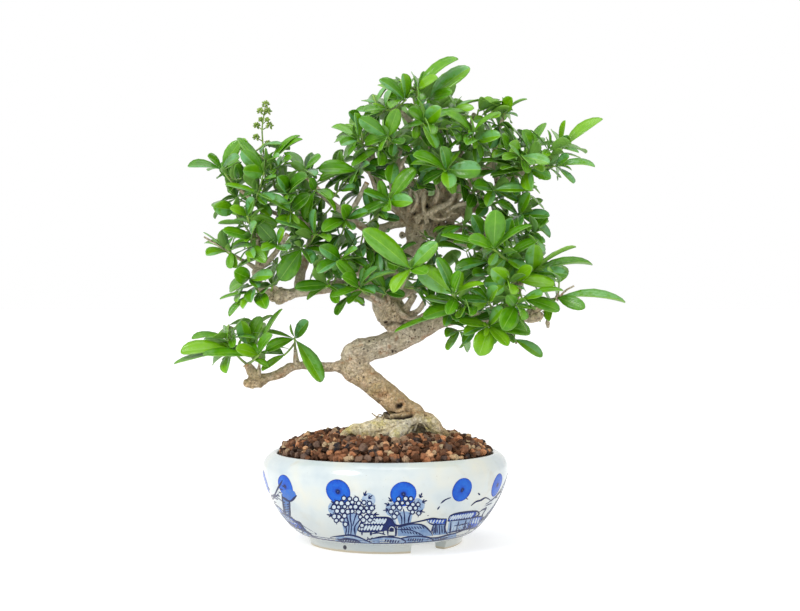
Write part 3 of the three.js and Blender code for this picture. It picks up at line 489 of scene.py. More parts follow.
branchRoutes = {
    "lowLeft": [(-28, 145, -3, 6), (-40, 142, -5, 3.9), (-54, 142, -8, 3.4), (-68, 143, -11, 3.7),
        (-77, 141.5, -13, 3.6), (-90, 134.7, -17, 3.6), (-104, 131, -20, 4.2), (-115, 128.5, -22, 2.7)],
    "lowLeftStub": [(-104, 131, -20, 4.4), (-109, 138, -22, 4.6), (-113, 144, -23, 3.4)],
    "lowLeftTwig": [(-72, 142, -12, 3), (-73, 149, -12, 2.2), (-73.5, 156, -12, 1.3)],
    "leftMid": [(2, 203, 6, 7.4), (-16, 207, 0, 6), (-36, 208, -6, 5.4), (-54, 206, -11, 5), (-70, 203, -15, 4.7),
        (-85, 199.5, -18, 4.9), (-97, 202, -20, 3.9), (-104, 211, -22, 3.5), (-104, 222, -22, 3)],
    "leftPost": [(-104, 221, -22, 2.6), (-103.5, 236, -24, 2.1), (-104, 251, -25, 1.6)],
    "leftCut": [(-104, 221, -22, 2.6), (-92, 232, -28, 2.3), (-80, 250, -32, 2)],
    "leftReach": [(-104, 221, -22, 2.2), (-113, 227, -22, 1.6), (-121, 231, -23, 1.2)],
    "leftInner": [(-70, 203, -14, 4.2), (-70, 214, -8, 3.8), (-66, 228, -4, 3.2), (-61, 244, -2, 2.6),
        (-64, 262, 0, 2.2), (-76, 278, -4, 1.9), (-90, 288, -8, 1.6)],
    "leftFar": [(-64, 262, 0, 2.2), (-86, 266, -8, 1.9), (-106, 276, -12, 1.6), (-118, 286, -12, 1.3)],
    "leftSlant": [(-36, 208, -6, 2.8), (-44, 226, -12, 2), (-54, 240, -16, 1.7), (-70, 255, -18, 1.4)],
    "leftHigh": [(16, 262, 4, 5.4), (3, 257, -2, 3.4), (-10, 254, -8, 3), (-22, 258, -14, 3), (-31, 265, -20, 2.9)],
    "cutLong": [(-30, 264, -20, 2.8), (-44, 276, -24, 2.6), (-57, 288, -28, 2.5)],
    "cutShort": [(-30, 264, -20, 2.6), (-22, 279, -26, 2.2), (-15, 292, -30, 2.1)],
    "crownLeft": [(20, 268, 2, 6), (4, 278, 0, 4.2), (-5, 292, -4, 3.6), (-8, 306, -8, 3), (-17, 314, -12, 1.8)],
    "crownLeftTop": [(-8, 304, -8, 2.4), (-12, 322, -6, 1.9), (-16, 336, -4, 1.4)],
    "crownFork": [(17, 272, 0, 3), (7, 293, -8, 2.3), (10, 307, -12, 1.7), (13, 319, -14, 1.2)],
    "crownForkTip": [(8, 299, -10, 1.5), (15, 311, -13, 1.3), (22, 323, -16, 1.1)],
    "crownMain": [(44, 272, 4, 7), (46, 294, 0, 4.4), (42, 316, -6, 3.7), (30, 332, -12, 3.2), (12, 351, -18, 2.4)],
    "crownTop": [(42, 316, -6, 3), (36, 338, -2, 2.4), (28, 354, -4, 2)],
    "crownRight": [(52, 273, 4, 6), (58, 288, 0, 3.7), (60, 306, -4, 3.1), (64, 326, -6, 2.6), (73, 349, -8, 1.8)],
    "farRight": [(46, 271, 4, 9), (64, 271, 0, 5.4), (80, 276, -4, 4), (92, 289, -8, 3.2), (106, 298, -12, 2.6),
        (122, 305, -14, 2)],
    "rightUp": [(92, 289, -8, 2.6), (89, 312, -8, 2.2), (92, 334, -12, 1.9), (96, 344, -14, 1.6)],
    "rightMid": [(32, 256, 8, 6), (52, 255, 4, 3.4), (72, 253, -2, 2.9), (90, 252, -8, 2.8), (99, 262, -10, 2.4)],
    "rightLowUp": [(96, 184, -22, 3.2), (103, 200, -22, 2.6), (108, 215, -22, 2.1), (110, 228, -20, 1.6)],
    "rightLowCut": [(98, 184, -24, 3), (105, 197, -38, 2.2), (113, 216, -48, 1.7)],
    "rightEnd": [(114, 183, -26, 3), (126, 191, -30, 2.2), (136, 197, -32, 1.6)],
    "frontLeft": [(0, 196, 0, 4), (-4, 197, -20, 2.4), (-13, 201, -38, 1.7)],
    "frontCentre": [(4, 206, 2, 4), (12, 208, -24, 2.6), (17, 215, -46, 1.7)],
    "backLow": [(4, 192, 8, 6), (14, 201, 24, 4.2), (28, 206, 38, 3.2), (42, 212, 48, 2.2)],
    "backLeft": [(0, 207, 8, 6), (-24, 222, 26, 4), (-46, 236, 38, 3), (-66, 250, 44, 2.2)],
    "backCrown": [(34, 268, 12, 8), (26, 286, 30, 4.2), (14, 304, 40, 3.2), (2, 322, 44, 2.2)],
    "backRight": [(46, 270, 10, 8), (60, 284, 28, 4), (76, 298, 38, 3), (88, 308, 42, 2.2)],
    "backRightLow": [(30, 256, 12, 6), (52, 247, 30, 3.6), (72, 240, 42, 2.6), (88, 234, 48, 2)],
}
allRoutes = {**trunkRoutes, **rootRoutes, **branchRoutes}

wood = {
    "voxel": 1.05, "smoothing": 0.5,  # of the thick wood's mesh
    "thickFrom": 4,  # routes that reach this radius are melted into one body
    "lumps": [(17, 1.5), (7, 0.9), (2.6, 0.32)],  # how wide and how high
    "fistCentre": (36, 268, 3),  # the gnarled head that the crown's branches leave
    "fistLumps": 34, "fistReach": (22, 8, 9),
    # rough places: (x, z, depth, radius, strength)
    "rough": [(36, 268, 3, 31, 1), (7, 187, -3, 20, 0.85), (-14, 156, -8, 7, 0.3), (-105, 132, -21, 12, 0.9),
        (125, 184, -29, 16, 0.8), (-88, 199, -19, 14, 0.7)],
    "fistRough": [(7, 1.9), (3, 1.2)], "roughEdge": 1.6, "fistRadii": (2.5, 6.5),
    "wobble": (1.6, 0.55),  # how wide and how far the marks' edges wander
    # how dark the painted shade is in the fist's crevices, in the dents and in the scars
    "ridges": 2.2, "crevices": (1.6, 0.4), "markEdge": 1.3, "creviceShade": 0.6, "dentShade": 0.9, "scarShade": 0.3,
    "flare": (48, 104, 6),  # the pale foot of the trunk: its right and top limit, and its faded edge
    "twigLumps": [(7, 0.35), (2, 0.12)], "twigTaper": 0.12,
}
# Healed cuts and swellings, (x, z, depth, radius)
knots = [(-17, 156, -9, 5.6), (-37, 142.5, -3, 5.6), (0, 194, -8, 5), (14, 110, -8, 5), (13.5, 249, -1, 3.6), (6, 176,
    -2, 6), (-86, 199, -19, 6), (-104, 219, -22, 4.6), (-78, 141.5, -13, 4.6), (-105, 131, -20, 5.4), (62, 182, -14,
    6.4), (97, 184, -22, 5.4)]
# Dents in the bark that face the front, (x, z, radius, depth), each darkened with painted shade
dents = [(10.8, 109.4, 2.9, 3), (12.6, 111.4, 2.4, 2.2), (7.5, 183.5, 1.2, 0.8), (0, 178, 1.3, 1),
    (-17.5, 133.5, 1.2, 0.9), (-12, 129, 1, 0.7), (-17.5, 156.5, 1.6, 0.7), (-14, 155, 1, 0.6), (24, 172, 1.3, 0.9),
    (6, 154.2, 1.2, 0.7), (9, 153.6, 1, 0.7), (-8, 122, 0.8, 0.5), (1, 118, 0.8, 0.4), (14, 249, 1.5, 1.4),
    (24, 267, 1.6, 1.6), (34, 273, 1.8, 1.8), (30, 251, 0.8, 0.6), (-20, 145, 0.9, 0.5), (18, 190, 1.4, 0.9),
    (-30, 148, 0.7, 0.5), (-26, 139, 0.6, 0.4), (-6, 116, 0.7, 0.5), (-22, 133, 0.6, 0.4), (-1, 163, 0.7, 0.5),
    (14, 168, 0.7, 0.5), (19, 162, 0.8, 0.6), (3, 125, 0.6, 0.4), (-13, 163, 0.8, 0.5), (-8, 158, 0.6, 0.4),
    (-33, 141, 0.8, 0.7), (5, 212, 1.2, 0.7), (14, 233, 1.2, 0.7)]
# Folds in the bark, lines through (x, z) with a width, a depth and how dark their painted shade is
folds = [([(-26, 154), (-21, 149.5), (-16, 145.5)], 1.6, 1.3, 0.3),
    ([(1.5, 102.2), (9, 101.9), (15, 102.3), (21, 103.8)], 3.1, 4.6, 1),
    ([(24, 105.6), (28, 104), (31, 100)], 1.3, 0.9, 0.3), ([(3, 155.5), (7, 155), (10, 153)], 1.1, 0.9, 0.45),
    ([(29, 170), (29.6, 178)], 1.2, 0.8, 0.25), ([(-37, 138), (-35.8, 142), (-36.5, 147)], 1.4, 1.1, 0.35),
    ([(17, 84), (20.5, 90), (25, 94.6), (30, 95), (35, 90)], 1.3, 1.4, 0.5),
    ([(25, 88), (28, 91), (32, 88)], 3.4, 2.6, 0.62), ([(-22, 92), (-8, 95), (2, 94)], 1.8, 1.2, 0.15),
    ([(-10, 88), (2, 90), (14, 96)], 1.8, 1.1, 0.15), ([(32, 103), (37, 98), (40, 92)], 1.3, 1, 0.35),
    ([(0, 176), (9, 178), (16, 177)], 1.4, 1.4, 0.6), ([(14, 178), (22, 184), (27, 184)], 1.3, 1.2, 0.5),
    ([(-31, 150), (-25, 157), (-19, 162)], 1.6, 0.8, 0.15), ([(-6, 112), (0, 116), (5, 123)], 1.5, 0.7, 0.12),
    ([(-16, 122), (-9, 127), (-4, 133)], 1.6, 0.6, 0.1), ([(-28, 131), (-20, 136), (-14, 141)], 1.5, 0.7, 0.12),
    ([(12, 157), (13, 164), (11, 170)], 1.8, 0.8, 0.12), ([(35, 172), (38, 178)], 1.4, 0.8, 0.2)]
# Round scars of lost branches, (x, z, radius, width, depth), darkened with painted shade
scars = [(-17, 156, 4.2, 1.2, 0.8), (7.5, 183.5, 5.6, 1.4, 1.1), (12, 110.4, 5, 1.2, -1.1), (17, 190, 3, 1, 0.7)]


def stationsOf(route):
    return [(seen(x, z, depth), radius) for x, z, depth, radius in route]


def lumpAt(x, z, depth, radius):
    where = fromTree @ seen(x, z, depth)
    bpy.ops.mesh.primitive_ico_sphere_add(subdivisions=2, radius=radius * mm, location=where)
    bpy.ops.object.transform_apply(location=True, rotation=True, scale=True)
    return bpy.context.object


def toLine(points, line):  # how far points lie from a line through others
    best = np.full(len(points), farAway)
    for start, end in pairwise(line):
        start = np.array(start, float)
        way = np.array(end, float) - start
        share = np.clip((points - start) @ way / (way @ way), 0, 1)
        best = np.minimum(best, norm(points - start - share[:, None] * way, axis=1))
    return best


def wavesAt(places, size, shift=Vector()):  # noise from -1 to 1, size wide
    return np.array([noise.noise(Vector(place) / (size * mm) + shift) for place in places.tolist()])


def carveBark(piece, lumps):
    places = placesOf(piece)
    normals = placesOf(piece, "normal")
    shift = np.zeros(len(places))
    for size, height in lumps:
        shift += wavesAt(places, size) * height
    shown = np.stack(shownAt((places - np.array(potAxis)).T / mm), axis=1)
    size, reach = wood["wobble"]
    wobble = [noise.noise_vector(Vector(place) / (size * mm)) for place in places.tolist()]
    shown += np.array(wobble)[:, [0, 2]] * reach
    front = np.clip(-normals[:, 1] * 3, 0, 1)
    gnarled = np.zeros(len(places))
    for x, z, depth, radius, strength in wood["rough"]:
        away = norm(places - np.array(fromTree @ seen(x, z, depth)), axis=1) / (radius * mm)
        gnarled = np.maximum(gnarled, np.clip(wood["roughEdge"] * (1 - away), 0, 1) * strength)
    # Painted shade in the crevices between the fist's ridges
    crevice = np.zeros(len(places))
    steep, level = wood["crevices"]
    for size, height in wood["fistRough"]:
        ridges = 1 - wood["ridges"] * np.abs(wavesAt(places, size, Vector((7, 3, 1))))
        shift += ridges * height * gnarled
        crevice = np.maximum(crevice, np.clip(-ridges * steep + level, 0, 1) * gnarled)
    setValues(piece, "gnarled", gnarled)
    dark = crevice * wood["creviceShade"]
    marks = [(norm(shown - np.array((x, z)), axis=1), radius, depth, wood["dentShade"])
        for x, z, radius, depth in dents]
    marks += [(toLine(shown, line), width, depth, tone) for line, width, depth, tone in folds]
    for x, z, radius, width, depth in scars:
        away = norm(shown - np.array((x, z)), axis=1)
        marks.append((np.abs(away - radius), width, depth, wood["scarShade"]))
    # Painted shade in the dents, folds and scars, where the bark is pushed in
    for distance, radius, depth, tone in marks:
        share = np.clip(wood["markEdge"] - distance / radius, 0, 1) * front
        share = share * share * (3 - 2 * share)
        shift -= depth * share
        dark = np.maximum(dark, share * tone)
    setValues(piece, "dent", dark)
    right, top, fade = wood["flare"]
    flare = np.clip((top - shown[:, 1]) / fade, 0, 1) * np.clip((right - shown[:, 0]) / fade, 0, 1)
    setValues(piece, "flare", flare)
    movePlaces(piece, places + normals * shift[:, None] * mm)


def makeWood():
    draw = seededDraw(2311)
    thick = {name for name, route in allRoutes.items() if max(row[3] for row in route) >= wood["thickFrom"]}
    body = [tubeAlong(name, stationsOf(allRoutes[name]), bevel=4, steps=4) for name in allRoutes if name in thick]
    body += [lumpAt(*knot) for knot in knots]
    for _ in range(wood["fistLumps"]):
        x, z, depth = (c + draw(-r, r) for c, r in zip(wood["fistCentre"], wood["fistReach"]))
        body.append(lumpAt(x, z, depth, draw(*wood["fistRadii"])))
    trunk = joinAs("wood_trunk", body)
    finishWith(trunk, "REMESH", mode="VOXEL", voxel_size=wood["voxel"] * mm)
    finishWith(trunk, "SMOOTH", factor=wood["smoothing"], iterations=4)
    carveBark(trunk, wood["lumps"])
    twigs = [tubeAlong(name, stationsOf(allRoutes[name]), bevel=2, steps=5)
        for name in allRoutes if name not in thick]
    for points, radius in looseTwigs:
        stations = [(seen(*point), radius * (1 - wood["twigTaper"] * k)) for k, point in enumerate(points)]
        twigs.append(tubeAlong("twig", stations, bevel=1, steps=4))
    twigs = joinAs("wood_twigs", twigs)
    carveBark(twigs, wood["twigLumps"])
    return trunk, twigs


# Bare twigs that no route above has, (x, z, depth) points and a radius
looseTwigs = [([(25, 261, -10), (41, 270, -15), (55, 279, -16), (55.5, 300, -16)], 2.5),
    ([(34, 259, -12), (31, 272, -16), (32, 287, -17)], 1.7),
    ([(38, 248, -2), (48, 253, -8), (62, 259, -10), (72, 266, -10)], 1.2),
    ([(20, 258, 2), (12, 270, -10), (9, 284, -14)], 1.6), ([(48, 268, -8), (60, 274, -14), (78, 276, -14)], 2),
    ([(58, 272, -4), (66, 280, -12), (70, 294, -14)], 1.4), ([(60, 270, 4), (74, 268, 0), (84, 262, -4)], 1.3),
    ([(46, 274, 8), (50, 290, 12), (46, 304, 14)], 1.6), ([(30, 264, 16), (22, 280, 24), (16, 296, 26)], 1.6),
    ([(36, 266, -12), (44, 262, -18), (52, 264, -20)], 1), ([(22, 268, -10), (26, 277, -15), (24, 286, -17)], 1.1),
    ([(64, 278, -8), (70, 284, -15), (80, 286, -16)], 1.2), ([(40, 276, -10), (43, 284, -15), (41, 292, -16)], 1.2),
    ([(3, 190, -8), (2.4, 198, -12), (2, 206, -13)], 1.5),
    ([(8, 192, -8), (13, 186, -14), (21, 182, -15), (26, 184, -14)], 2.4),
    ([(14, 186, -6), (20, 194, -12), (24, 201, -14)], 3.2), ([(20, 184, -6), (27, 188, -12), (32, 195, -13)], 2.6),
    ([(-1, 191, -8), (-13, 198, -14), (-27, 203, -18)], 2.2), ([(26, 182, -8), (34, 186, -14), (40, 190, -16)], 1.8),
    ([(14, 266, -6), (0, 276, -18), (-8, 288, -24), (-13, 300, -27), (-22, 312, -28)], 2.4),
    ([(14, 266, -8), (5, 280, -20), (8, 294, -27), (14, 307, -29), (20, 320, -28)], 1.9),
    ([(5, 280, -20), (4, 292, -27), (1, 304, -29)], 1.3),
    ([(-103, 133, -22), (-103, 141, -24), (-102, 150, -25)], 1.2),
    ([(-104, 222, -22), (-128, 236, -26), (-148, 248, -30)], 1),
    ([(20, 268, -6), (20, 280, -12), (21, 293, -14)], 1.3), ([(25, 268, -6), (29, 282, -14), (34, 296, -18)], 1.2),
    ([(91, 334, -12), (95, 343, -14), (98, 351, -15)], 1.2), ([(107, 196, -24), (113, 217, -28)], 1.8),
    ([(140, 196, -32), (147, 204, -32), (154, 208, -32)], 1), ([(138, 196, -32), (141, 202, -34)], 1),
    ([(130, 188, -31), (132, 180, -32), (133, 174, -33)], 1),
    ([(98, 184, -24), (103, 170, -30), (107, 161, -34)], 1.1),
    ([(104, 184, -24), (112, 181, -28), (121, 187, -32)], 0.9),
    ([(-50, 283, -26), (-57, 289, -30), (-70, 300, -34)], 0.9),
    ([(4, 97, -22), (-5, 100, -26), (-11, 104, -30)], 0.5), ([(2, 98, -22), (-4, 103, -24), (-7, 101, -28)], 0.4),
    ([(6, 98, -22), (0, 102, -27), (-3, 99, -30)], 0.4), ([(15, 80, -38), (19, 87, -34), (22, 92, -30)], 0.6),
    ([(24, 90, -24), (28, 96, -22), (34, 91, -22)], 0.9), ([(10, 262, 2), (7, 284, -2), (6, 300, -4)], 1.3),
    ([(30, 272, 0), (33, 290, -4), (30, 306, -8)], 1.2), ([(60, 272, 0), (66, 262, -6), (76, 256, -10)], 1.2),
    ([(74, 275, -2), (78, 288, -8), (76, 300, -10)], 1.1), ([(-60, 244, -4), (-52, 252, -8), (-40, 254, -14)], 1.2),
    ([(-54, 206, -12), (-52, 216, -16), (-44, 224, -20)], 1.2),
    ([(-85, 200, -20), (-92, 208, -26), (-98, 206, -30)], 1.1),
    ([(46, 180, -10), (52, 192, -16), (56, 206, -18)], 1.4), ([(62, 182, -14), (72, 194, -18), (76, 208, -18)], 1.3)]


cutEnds = {"ends": ["cutLong", "cutShort", "leftCut", "rightLowCut", "lowLeftStub"],
    "thickness": 0.7, "overhang": 1.03, "bevel": 0.2}


def makeCutEnds():
    discs = []
    for name in cutEnds["ends"]:
        (before, _), (end, radius) = stationsOf(branchRoutes[name])[-2:]
        way = (end - before).normalized()
        turn = way.to_track_quat("Z", "Y").to_euler()
        bpy.ops.mesh.primitive_cylinder_add(
            vertices=18, radius=radius * cutEnds["overhang"] * mm, depth=cutEnds["thickness"] * mm,
            location=fromTree @ end, rotation=turn)
        disc = bpy.context.object
        bpy.ops.object.transform_apply(location=True, rotation=True, scale=True)
        finishWith(disc, "BEVEL", width=cutEnds["bevel"] * mm, segments=2)
        discs.append(disc)
    return joinAs("wood_cut_ends", discs)


# A leaf, modelled once in four shapes: 1 long along X, 1 wide along Y, its face up
leafShape = {
    "rows": [0, 0.06, 0.17, 0.33, 0.52, 0.7, 0.85, 0.95, 1],
    "halfWidths": [0.05, 0.08, 0.42, 0.8, 1.01, 1.02, 0.86, 0.55, 0.16], "columns": 4,
    "arch": 0.28, "bow": 0.19,  # how high the middle is, for the room that a leaf takes and for the blade itself
    "thickness": 0.014, "waves": 9,
    # fold, droop of the tip, twist in radians, how far the widest place moves out, height of the waves
    "kinds": [(0.05, 0, 0, 0, 0.004), (0.075, 0.04, 0.1, 0.02, 0.006), (0.04, -0.03, -0.12, -0.02, 0.008),
        (0.08, 0.07, 0.06, 0.03, 0.006)],
}


def makeLeafKind(kind, fold, droop, twist, shiftOut, wave):
    rowCount = len(leafShape["rows"]) - 1
    columnCount = leafShape["columns"]
    bpy.ops.mesh.primitive_grid_add(x_subdivisions=rowCount, y_subdivisions=columnCount, size=1, calc_uvs=True)
    leaf = named(bpy.context.object, f"leaf_kind_{kind}")
    flat = placesOf(leaf) + 0.5
    rowOf = np.round(flat[:, 0] * rowCount)
    columnOf = np.round(flat[:, 1] * columnCount)
    for column in range(columnCount + 1):
        side = abs(2 * column / columnCount - 1)
        pick(leaf, columnOf == column)
        bpy.ops.transform.translate(value=(0, 0, fold * side))
    for row, (t, half) in enumerate(zip(leafShape["rows"], leafShape["halfWidths"])):
        reach = t + shiftOut * math.sin(math.pi * t)
        arch = leafShape["bow"] * t * (1 - t) - droop * t ** 3
        pick(leaf, rowOf == row)
        bpy.ops.transform.resize(value=(1, half, half), center_override=(0, 0, 0))
        bpy.ops.transform.rotate(value=twist * t, orient_axis="X", center_override=(0, 0, 0))
        bpy.ops.transform.translate(value=(reach + 0.5 - row / rowCount, 0, arch))
    editDone()
    places = placesOf(leaf)
    side, waves = np.abs(columnOf * 2 / columnCount - 1), leafShape["waves"]
    places[:, 2] += wave * side * np.sin(waves * places[:, 0] + 2 * np.sign(places[:, 1]) + kind)
    movePlaces(leaf, places)
    finishWith(leaf, "SOLIDIFY", thickness=leafShape["thickness"], offset=0)
    places = placesOf(leaf)
    half = len(places) // 2
    under = places[:, 2] < np.roll(places[:, 2], half)
    setValues(leaf, "under", under)
    setValues(leaf, "tone", 0)
    setValues(leaf, "youth", 0)
    smooth(leaf)
    leaf.hide_render = True
    return leaf


class Leaf:
    def __init__(self, base, tip, normal, width):
        self.base = base
        self.tip = tip
        self.width = width
        self.length = (tip - base).length
        self.along = (tip - base).normalized()
        self.across = self.along.cross(normal).normalized()
        self.up = self.across.cross(self.along)

    def place(self, t, side):
        arch = leafShape["arch"] * self.length * t * (1 - t)
        fold = blades["fold"] * self.width * abs(side)
        return self.base + self.along * t * self.length + self.across * side * self.width / 2 \
            + self.up * (arch + fold)

    def matrix(self):  # from the leaf kind's own space to the scene's
        columns = [self.along * self.length, -self.across * self.width, self.up * self.length, self.base]
        made = Matrix.Identity(4)
        for k, column in enumerate(columns):
            made.col[k][:3] = column
        return fromTree @ made


# Where a blade takes up room, as shares along it and across it, and how crowded it may be
blades = {
    "fold": 0.1, "most": 40000, "nearShare": 0.7, "rodNearer": 0.6,  # how much nearer a leaf may come to wood
    "feelers": [(0.35, 0), (0.6, 0), (0.95, 0), (0.4, 0.7), (0.4, -0.7), (0.6, 0.8), (0.6, -0.8),
        (0.8, 0.6), (0.8, -0.6)],
    "rootShare": 0.38, "usualLength": 27,
    "usualWidth": 0.4, "wider": 5, "play": (0.9, 1.1), "rise": 0.8, "outward": 0.6,
    "edges": [(0.98, 0), (0.6, 0), (0.6, 0.9), (0.6, -0.9)],  # that have to lie in the crown's outline
    "rootDepth": 1.2, "leastDepth": 6, "depthShares": [-1, 1, -0.6, 0.6, -1.4, 1.4, -0.2, 0.2, -1.8, 1.8],
}
asInSource = {"enough": 3.4, "least": 1.5}
fillingIn = {"enough": 2.6, "least": 1.25}


class Crown:  # all that has grown, and the free room round it
    def __init__(self):
        self.count = 0
        self.places = np.zeros((blades["most"], 3))
        self.shares = np.zeros(blades["most"])
        self.owners = np.zeros(blades["most"], int)
        self.rods = []

    def addRods(self, stations, spray):
        for (start, startRadius), (end, endRadius) in pairwise(stations):
            self.rods.append((tuple(start), tuple(end), max(startRadius, endRadius), spray))
        self.rodStarts = np.array([rod[0] for rod in self.rods])
        self.rodWays = np.array([rod[1] for rod in self.rods]) - self.rodStarts
        self.rodRadii = np.array([rod[2] for rod in self.rods])
        self.rodSprays = np.array([rod[3] for rod in self.rods])

    def rodGaps(self, places):  # from each place to the surface of each rod
        fromStart = places[:, None] - self.rodStarts[None]
        lengths = np.maximum((self.rodWays ** 2).sum(axis=1), 1e-9)
        share = np.clip((fromStart * self.rodWays[None]).sum(axis=2) / lengths, 0, 1)
        return norm(fromStart - share[:, :, None] * self.rodWays[None], axis=2) - self.rodRadii[None]

    def room(self, leaf, owner, spray, most):
        mine = np.array([leaf.place(t, side) for t, side in blades["feelers"]])
        rooted = np.array([t < blades["rootShare"] for t, _ in blades["feelers"]])
        reach = leaf.length * blades["nearShare"] + leaf.width
        places = self.places[:self.count]
        near = norm(places - mine[1], axis=1) <= reach
        room = most
        if near.any():
            apart = norm(mine[:, None] - places[near][None], axis=2)
            kin = (self.owners[:self.count][near] == owner) \
                & (self.shares[:self.count][near] < blades["rootShare"])
            apart[rooted[:, None] & kin[None]] = farAway
            room = min(room, apart.min())
        apart = self.rodGaps(mine) + blades["rodNearer"]
        apart[rooted[:, None] & (self.rodSprays == spray)[None]] = farAway
        return min(room, apart.min())

    def grow(self, ways, owner, spray, crowding):  # the roomiest way, or nothing where all are crowded
        best = None
        for leaf in ways:
            room = self.room(leaf, owner, spray, crowding["enough"] + 0.01)
            if best is None or room > best[1]:
                best = (leaf, room)
            if room > crowding["enough"]:
                break
        if best is None or best[1] < crowding["least"]:
            return None
        for t, side in blades["feelers"]:
            self.places[self.count] = best[0].place(t, side)
            self.shares[self.count] = t
            self.owners[self.count] = owner
            self.count += 1
        return best[0]


def seenWays(base, tipSeen, depth):  # the ways of a leaf whose tip and width show from the front
    x, z, width = tipSeen
    level = (seen(x, z, depth) - base).length
    missing = math.sqrt(max(blades["usualLength"] ** 2 - level ** 2, blades["leastDepth"] ** 2))
    ways = []
    for share in blades["depthShares"]:
        tip = seen(x, z, depth + share * missing)
        length = (tip - base).length
        along = (tip - base).normalized()
        fullWidth = max(width, min(blades["usualWidth"] * length, width + blades["wider"]))
        facing = (Vector((0, -1, 0)) + along * along.y).normalized()
        turned = along.cross(facing)
        if turned.z < 0:
            turned.negate()
        cosine = width / fullWidth
        normal = facing * cosine + turned * math.sqrt(1 - cosine * cosine)
        ways.append(Leaf(base, tip, normal, fullWidth))
    return ways


hidden = {"leaves": 4, "lengths": (23, 31), "twists": [0, 0.2, -0.2, 0.4, -0.4], "treeAxis": Vector((8, 0, 0)),
    "rise": 0.35, "openings": (1, 1.15)}


def ringWays(base, draw):  # for each leaf of a shoot that faces away from the front, its ways
    outward = base - hidden["treeAxis"]
    outward.z = hidden["rise"] * math.hypot(outward.x, outward.y)
    outward.normalize()
    level = Vector((0, 0, 1)).cross(outward).normalized()
    upright = outward.cross(level)
    first = draw(0, 2 * math.pi)
    for k in range(hidden["leaves"]):
        length = draw(*hidden["lengths"])
        opening = hidden["openings"][k % 2]
        ways = []
        for twist in hidden["twists"]:
            angle = first + 2 * math.pi * k / hidden["leaves"] + twist
            sideways = level * math.cos(angle) + upright * math.sin(angle)
            along = outward * math.cos(opening) + sideways * math.sin(opening)
            ways.append(leafUpwards(base, along, length, outward, blades["usualWidth"]))
        yield ways


def leafUpwards(base, along, length, outward, widthShare):  # a leaf that turns its face up and out
    normal = Vector((0, 0, blades["rise"])) + outward * blades["outward"]
    normal = (normal - along * normal.dot(along)).normalized()
    return Leaf(base, base + along * length, normal, widthShare * length)


